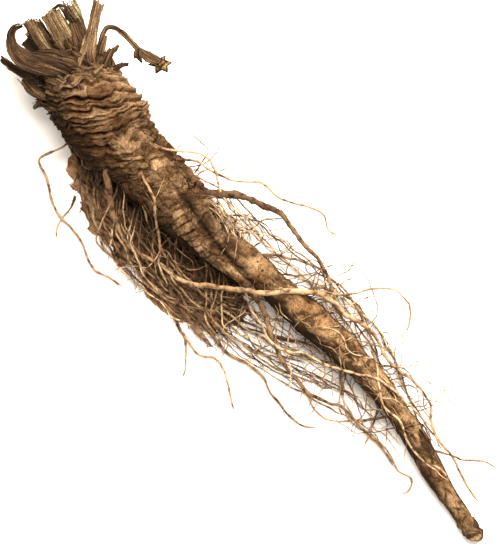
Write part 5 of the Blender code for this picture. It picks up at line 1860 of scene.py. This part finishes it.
TRIMMINGS = (  # small torn pieces among the stalks, and a dark sheet of painted shade
    # A dark sheet of painted shade: it stands for the shade in the hollow under the scroll
    Blade(
        "shade_sheet_under_scroll",
        ((-81, -1.6, 13, 3, 1, 20), (-87.5, -2, 11, 4.4, 0.9, 25), (-93, -2.6, 9.6, 3.4, 0.7, 30)),
        WITHERED_LEAF, seed=60, stained=1.0, base_stain=22.0,
    ),
    Blade(
        "pale_membrane",
        ((-76, 10, 15.9, 1.2, 0.4, 10), (-77.4, 12.2, 16.2, 1.5, 0.35, 10),
         (-79, 14.8, 16.2, 0.8, 0.3, 10)), PALE_STRAW, seed=51, sides=28, loose=0, rib_depth=0.05,
    ),
    Blade(
        "pale_flake",
        ((-76.2, 1.4, 21.6, 0.8, 0.4, 0), (-74.6, 3.4, 21.8, 1.4, 0.4, -12),
         (-73.4, 5.4, 21, 1.7, 0.4, -25), (-73.6, 8.4, 18.9, 0.8, 0.35, -35)), PALE_STRAW, seed=52,
        sides=28, loose=1, rib_depth=0.05, cup=0.3,
    ),
    Blade(
        "split_leg",
        ((-80.8, 9.4, 19.6, 1.8, 0.8, 0), (-79.2, 6.6, 20.8, 1.7, 0.7, 0),
         (-77.8, 4.2, 21.6, 1.2, 0.6, 0), (-76.6, 2.8, 21.7, 0.7, 0.5, 0)), ROSY_STRAW, seed=53, sides=28,
        loose=1, rib_depth=0.1,
    ),
    Blade(
        "brown_sheath",
        ((-79, 7, 15.6, 3.6, 0.9, -10), (-83, 8.7, 15.3, 4.4, 0.8, -14),
         (-87.6, 10.4, 14.6, 3.4, 0.7, -20)), SHADED_TAN_STRAW, seed=54, stained=0.5, cup=-0.3,
    ),
    Blade(
        "thin_stick",
        ((-87, 11, 15.2, 0.7, 0.6, 0), (-90.6, 11.2, 15.4, 0.7, 0.5, 0), (-94, 12.1, 15.2, 0.5, 0.4, 0)),
        WITHERED_LEAF, seed=55, sides=16, loose=0, rib_depth=0.04,
    ),
    Blade(
        "curled_shred",
        ((-93.4, 8.8, 16.2, 0.9, 0.4, 0), (-93.2, 10.4, 16.8, 1, 0.4, 20),
         (-91.6, 11.4, 16.6, 0.8, 0.4, 40), (-90.2, 10.8, 16, 0.5, 0.3, 60)), WITHERED_LEAF, seed=56,
        sides=16, loose=0, rib_depth=0.04,
    ),
    Blade(
        "torn_flap",
        ((-70.6, 18.6, 14.2, 1.6, 0.6, 0), (-69.2, 17.2, 14.3, 2.6, 0.5, 10),
         (-67.4, 16.6, 14, 1.2, 0.4, 20)), WITHERED_LEAF, seed=57, sides=28, loose=2, torn=1.2,
    ),
    Blade(
        "dark_clump",
        ((-73, 7.8, 17.4, 2.6, 1, -30), (-74.2, 10.6, 16.2, 3, 0.9, -30),
         (-75.2, 13.4, 15.4, 1.6, 0.7, -30)), WITHERED_LEAF, seed=58, sides=28, loose=8, torn=1.4,
    ),
    Blade(
        "dark_tuft",
        ((-76, 2.6, 20.4, 1.8, 0.8, 5), (-78.6, 2.9, 21.9, 2.6, 0.7, 10), (-81.4, 1.6, 22.1, 1.4, 0.5, 20)),
        WITHERED_LEAF, seed=61, sides=28, loose=10, torn=1.8, stained=0.9, base_stain=9.0,
    ),
    Blade(
        "dark_shred",
        ((-76.4, 5.6, 19.6, 1.4, 0.7, 0), (-79, 5.2, 21.2, 2, 0.6, -10), (-81.8, 4.6, 20.8, 1, 0.5, -20)),
        WITHERED_LEAF, seed=62, sides=28, loose=8, torn=1.8, stained=0.9, base_stain=9.0,
    ),
    Blade(
        "low_shred",
        ((-75.4, -2.4, 20.6, 1.6, 0.7, 15), (-77.8, -3.4, 21, 2.2, 0.6, 20),
         (-80.6, -4.6, 20.6, 1.2, 0.5, 25)), WITHERED_LEAF, seed=63, sides=28, loose=8, torn=1.8,
        stained=0.6, base_stain=5.0,
    ),
    Blade(
        "rosy_bud",
        ((-75.6, -2.6, 20.4, 1.6, 1.2, 0), (-77.2, -3, 21, 2.4, 1.8, 0), (-78.8, -3.4, 20.8, 1, 0.8, 0)),
        ROSY_STRAW, seed=59, sides=28, loose=0, rib_depth=0.06, torn=0.2,
    ),
)


@dataclass
class Crown:
    """The leaf stalks of the crown, and the flakes, crumbs and fibres among them."""

    taproot: Taproot
    draw: random.Random = field(default_factory=lambda: random.Random(77))
    scrap_centre: tuple[float, float, float] = (-63.7, 20.3, 12.8)
    scrap_corners: tuple[Row, ...] = (  # turn in degrees, reach: its points and the bays between
        (0, 3.6), (26, 2.2), (48, 3.4), (80, 1.7), (98, 2.8), (135, 1.5), (166, 3), (198, 1.7), (232, 3.9),
        (256, 1.9), (286, 3.3), (322, 1.9),
    )
    scrap_thickness: float = 0.9
    scrap_lean_deg: tuple[float, float] = (18.0, -14.0)
    scrap_seed: int = 5
    flakes_drawn: int = 190  # those that would stand below flake_lowest are left out
    flake_lowest: float = 1.5
    flake_along: tuple[float, float] = (-84.5, -70.0)
    flake_length: tuple[float, float] = (1.5, 4.0)
    flake_width: tuple[float, float] = (0.8, 2.4)
    crumb_seed: int = 6
    pith_radius: tuple[float, float] = (0.1, 0.3)
    soil_radius: tuple[float, float] = (0.08, 0.42)
    soil_spots: tuple[Row, ...] = (  # along from, to, turn, its spread, count
        (-54, -30, 0.5, 0.26, 250), (-78, -20, 3.3, 0.5, 120), (-76, 60, 1.4, 0.8, 90),
    )

    def scrap(self, shape: Shape) -> None:
        """Adds the jagged scrap of leaf at the end of the hooked stalk, with veins and curled points.

        Args:
            shape: The hooked stalk's shape.
        """
        turns, reaches = (np.array(values) for values in zip(*self.scrap_corners))
        count = len(turns)
        place = np.linspace(0, count, 160, endpoint=False)
        edge_x, edge_y = (
            np.interp(place, np.arange(count + 1), np.append(values, values[0]))
            for values in (reaches * np.cos(np.radians(turns)), reaches * np.sin(np.radians(turns)))
        )
        turn = np.arctan2(edge_y, edge_x)
        share = np.linspace(0.04, 1.0, 16)
        noise = Noise(self.scrap_seed)
        x, y = share[:, None] * edge_x, share[:, None] * edge_y
        radial = np.hypot(x, y)
        bend = 0.45 * noise.rough(x / 1.3, y / 1.3, 0.0, 2) + 0.06 * radial**2 * np.sin(3 * turn + 1)
        thick = 0.5 * self.scrap_thickness * (1 - 0.55 * share[:, None])
        vein = 0.12 * np.abs(np.sin(4 * turn))[None] * share[:, None]
        top = np.stack([x, y, bend + thick - vein], axis=-1)
        bottom = np.stack([x, y, bend - thick + vein], axis=-1)[::-1]
        rings = np.concatenate([top, bottom])
        ends = np.array([top[0].mean(axis=0), bottom[-1].mean(axis=0)])
        points = np.vstack([rings.reshape(-1, 3), ends])
        lean = Matrix.Rotation(math.radians(self.scrap_lean_deg[1]), 3, "Y") @ Matrix.Rotation(
            math.radians(self.scrap_lean_deg[0]), 3, "X"
        )
        points = points @ np.array(lean).T + np.array(self.scrap_centre)
        light = np.clip(0.72 + 0.5 * noise.rough(rings[..., 0] / 0.9, rings[..., 1] / 0.9, 3.0, 3), 0, 1)
        edge = smoothstep(0.74, 0.97, np.concatenate([share, share[::-1]]))[:, None]
        light = light * (1 - 0.8 * edge)
        shape.add(
            points,
            ring_faces(len(rings), rings.shape[1]),
            fibre=points.copy(),
            rib=np.append(light.ravel(), [0.4, 0.4]),
            stain=np.append(np.clip(0.4 - light, 0, 1).ravel() * 0.6, [0.2, 0.2]),
        )

    def trimmings(self) -> None:
        """The small torn pieces among the stalks and the sheet of painted shade, one piece for each finish.
        """
        for finish in dict.fromkeys(blade.finish for blade in TRIMMINGS):
            shape = Shape()
            for blade in TRIMMINGS:
                if blade.finish is finish:
                    blade.add_to(shape)
            shape.build(f"trimmings_{finish.name}", finish.material(), Slot.STALK)

    def flakes(self) -> None:
        """Small torn scales round the bases of the stalks and on the neck's rim."""
        shape = Shape()
        count = 0
        for _ in range(self.flakes_drawn):
            along = self.draw.uniform(*self.flake_along)
            turn = self.draw.uniform(0, TURN)
            points, _ = self.taproot.surface(np.array([along]), np.array([turn]))
            start = points[0]
            if start[2] < self.flake_lowest:
                continue
            across, height, _ = self.taproot.axis_at(along)
            out = np.array([0.0, start[1] - across, start[2] - height])
            out /= max(float(np.linalg.norm(out)), 0.1)
            length = self.draw.uniform(*self.flake_length)
            lift = self.draw.uniform(0.0, 0.9)
            swing = self.draw.gauss(0.0, 0.5)
            ahead = np.array([-1.0, 0.0, 0.0]) + lift * out + swing * np.cross(out, [1.0, 0.0, 0.0])
            ahead /= np.linalg.norm(ahead)
            width = self.draw.uniform(*self.flake_width)
            tilt = math.degrees(math.atan2(-out[1], out[2]))
            foot = start - 0.6 * out
            rows = tuple(
                (*(foot + ahead * length * t + out * 0.5 * lift * t * t), width * share, thick, tilt)
                for t, share, thick in ((0, 0.8, 0.5), (0.4, 1, 0.5), (0.75, 0.8, 0.4), (1, 0.35, 0.3))
            )
            Blade(
                "flake", rows, SHADED_TAN_STRAW, cup=self.draw.uniform(-0.2, 0.5), rib_pitch=0.5, rib_depth=0.08,
                torn=0.6, hollow=0.1, loose=0, seed=100 + count, sides=14, gap=0.5,
                stained=self.draw.uniform(0.2, 1.0),
            ).add_to(shape)
            count += 1
        shape.build("crown_scales", SHADED_TAN_STRAW.material(), Slot.STALK)

    def crumbs(self, name: str, finish: Finish, slot: Slot, spots: Sequence[np.ndarray], size: Any) -> None:
        """Scatters small rough lumps.

        Args:
            name: The piece's name.
            finish: What they are made of.
            slot: The record's slot.
            spots: Where each lump is.
            size: Their least and greatest radius.
        """
        base, faces = rock()
        shape = Shape()
        noise = Noise(self.crumb_seed)
        for i, spot in enumerate(spots):
            radius = size[0] + (size[1] - size[0]) * self.draw.random() ** 2
            rough = 1 + 0.55 * noise.at(base[:, 0] * 1.4 + i, base[:, 1] * 1.4, base[:, 2] * 1.4)
            squash = np.array([self.draw.uniform(0.7, 1.2) for _ in range(3)])
            points = spot + base * rough[:, None] * radius * squash
            points[:, 2] = np.maximum(points[:, 2], 0.02)
            shape.add(points, faces, tone=self.draw.random())
        shape.build(name, finish.material(), slot)

    def build(self) -> None:
        """Builds the crown's pieces."""
        for blade in STALKS:
            shape = Shape()
            for strip in blade.strips(6) if blade.name == "leaf_base_scroll" else (blade,):
                strip.add_to(shape)
            shape.build(blade.name + "_dressed", blade.finish.material(), blade.slot, blade.name)
        shape = Shape()
        HOOKED.add_to(shape)
        self.scrap(shape)
        shape.build("stalk_hooked_dressed", HOOKED.finish.material(), HOOKED.slot, HOOKED.name)
        self.trimmings()
        self.flakes()
        pith = []
        for blade in STALKS[:6]:
            width, thick = blade.rows[-1][3:5]
            for _ in range(26 + int(9 * width)):
                turn, share = self.draw.uniform(0, TURN), self.draw.uniform(0.3, 1.0)
                aside, upward = math.cos(turn) * share * width / 2, math.sin(turn) * share * thick / 2
                pith.append(np.array(blade.rows[-1][:3]) + [self.draw.uniform(-0.5, 0.5), aside, upward])
        self.crumbs("stalk_pith", PITH, Slot.STALK, pith, self.pith_radius)
        soil = []
        for low, high, middle, spread, count in self.soil_spots:
            for _ in range(count):
                along = np.array([self.draw.uniform(low, high)])
                turn = np.array([self.draw.gauss(middle, spread)])
                points, _ = self.taproot.surface(along, turn)
                soil.append(points[0])
        self.crumbs("soil_crumbs", SOIL, Slot.BARK, soil, self.soil_radius)


def rock() -> tuple[np.ndarray, list[np.ndarray]]:
    """A small round of 42 points and its faces, for crumbs to be shaped from."""
    mesh = bpy.data.meshes.new("rock")
    ball = bmesh.new()
    bmesh.ops.create_icosphere(ball, subdivisions=2, radius=1.0)
    ball.to_mesh(mesh)
    ball.free()
    points = np.array([vertex.co for vertex in mesh.vertices])
    faces = np.array([face.vertices[:] for face in mesh.polygons])
    bpy.data.meshes.remove(mesh)
    return points, [faces]


def front_ridge(noise: Noise) -> None:
    """The stout side root that lies along the taproot's front, with bands across it."""
    rows = dense_route(SIDE_ROOTS["front_ridge"][:RIDGE_STATIONS], 0.22)
    path, radius = rows[:, :3], rows[:, 3]
    _, side, lift = frames_along(path)
    turn = np.linspace(0, TURN, 72, endpoint=False)[None]
    along = path[:, :1]
    wander = 0.5 * noise.rough(along / 4, np.cos(turn) * 0.8, np.sin(turn) * 0.8, 2)
    band = tiled((along + wander - 0.4 * np.cos(turn)) / 2.1)
    banded = within((-38.0, -34.0, -18.0, -12.0), along)
    rough = noise.rough(along / 3, np.cos(turn) * 1.5, np.sin(turn) * 1.5, 3)
    fine = noise.rough(along / 0.5, np.cos(turn) * 4, np.sin(turn) * 4, 2)
    share = np.clip(radius / 3, 0.2, 1)[:, None]
    out = radius[:, None] * 0.97 + share * (0.6 * banded * (band - 0.6) + 0.35 * rough + 0.08 * fine)
    outlines = out[..., None] * np.stack([np.cos(turn), np.sin(turn)], axis=-1)
    # Painted shade in the creases between the bands, and paler crests, partly painted highlight
    crest = 0.72 - 0.6 * banded * (1 - smoothstep(0.1, 0.45, band)) + 0.15 * rough + 0.25 * fine
    crest = np.clip(crest, 0, 1)
    pale = np.clip(0.5 * (crest - 0.4), 0, 1)
    shape = Shape()
    none = 0 * crest
    values = {"crest": crest, "pale": pale, "soil": none, "tone": 0.5 + 0.4 * rough, "stained": 0.3 + none}
    shape.add(
        sweep(path, outlines, side, lift),
        ring_faces(len(path), 72),
        **{key: np.append(value.ravel(), [0.5, 0.5]) for key, value in values.items()},
    )
    shape.build("front_side_root", BARK.material(), Slot.BARK)


@dataclass
class Studio:
    """The floor, the light and the camera."""

    turn_deg: float = 48.0
    middle: tuple[float, float, float] = (-5.96, 0.64, 8.0)  # what the camera looks at
    picture_height_mm: float = 146.88
    lens_mm: float = 240.0
    sensor_mm: float = 36.0
    floor_size_mm: float = 3000.0
    key_watts: float = 16.8
    key_size_mm: float = 560.0
    key_place: tuple[float, float, float] = (-185.0, 330.0, 520.0)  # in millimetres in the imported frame
    key_colour: str = "#fff4e6"
    sky_colour: str = "#fbf2e6"
    sky_strength: float = 0.98

    def floor(self) -> None:
        """A large flat board under the root."""
        half = self.floor_size_mm / 2 * MM
        mesh = bpy.data.meshes.new("floor")
        points = [(-half, -half, 0), (half, -half, 0), (half, half, 0), (-half, half, 0)]
        mesh.from_pydata(points, [], [(0, 1, 2, 3)])
        mesh.materials.append(BOARD.material())
        board = bpy.data.objects.new("floor", mesh)
        bpy.context.scene.collection.objects.link(board)

    def lights(self) -> None:
        """A soft key light from the picture's top right that points at the root, and a sky round it."""
        lamp = bpy.data.lights.new("key", "AREA")
        lamp.energy = self.key_watts
        lamp.size = self.key_size_mm * MM
        lamp.color = linear(self.key_colour)[:3]
        holder = bpy.data.objects.new("key", lamp)
        holder.location = Vector(self.key_place) * MM
        holder.rotation_euler = (-Vector(self.key_place)).to_track_quat("-Z", "Y").to_euler()
        bpy.context.scene.collection.objects.link(holder)
        world = bpy.data.worlds.new("sky")
        world.use_nodes = True
        background = world.node_tree.nodes["Background"]
        background.inputs["Color"].default_value = linear(self.sky_colour)
        background.inputs["Strength"].default_value = self.sky_strength
        bpy.context.scene.world = world
        bpy.context.scene.view_settings.view_transform = "Standard"

    def camera(self) -> None:
        """Looks straight down, turned so that the root runs across the picture as in the photograph."""
        data = bpy.data.cameras.new("camera")
        data.lens = self.lens_mm
        data.sensor_width = self.sensor_mm
        data.clip_start, data.clip_end = 0.01, 10.0
        distance = self.picture_height_mm * self.lens_mm / self.sensor_mm
        turn = math.radians(self.turn_deg)
        right = Vector((math.cos(turn), math.sin(turn), 0.0))
        up = Vector((-math.sin(turn), math.cos(turn), 0.0))
        camera = bpy.data.objects.new("camera", data)
        camera.matrix_world = Matrix((right, up, right.cross(up))).transposed().to_4x4()
        camera.location = (Vector(self.middle) - Vector(ORIGIN) + Vector((0.0, 0.0, distance))) * MM
        bpy.context.scene.collection.objects.link(camera)
        bpy.context.scene.camera = camera

    def build(self) -> None:
        """Sets the studio up."""
        self.camera()
        self.floor()
        self.lights()


def corners(box: tuple[Vector, Vector]) -> list[list[float]]:
    """A box's two corners as plain lists."""
    return [list(corner) for corner in box]


def main() -> None:
    """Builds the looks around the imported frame."""
    logging.basicConfig(level=logging.INFO, format="%(name)s: %(message)s")
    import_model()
    Studio().build()
    taproot = Taproot()
    taproot.build()
    front_ridge(taproot.noise)
    Rootlets(taproot).build()
    Mat().build(taproot.noise)
    Crown(taproot).build()
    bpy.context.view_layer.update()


if __name__ == "__main__":
    main()
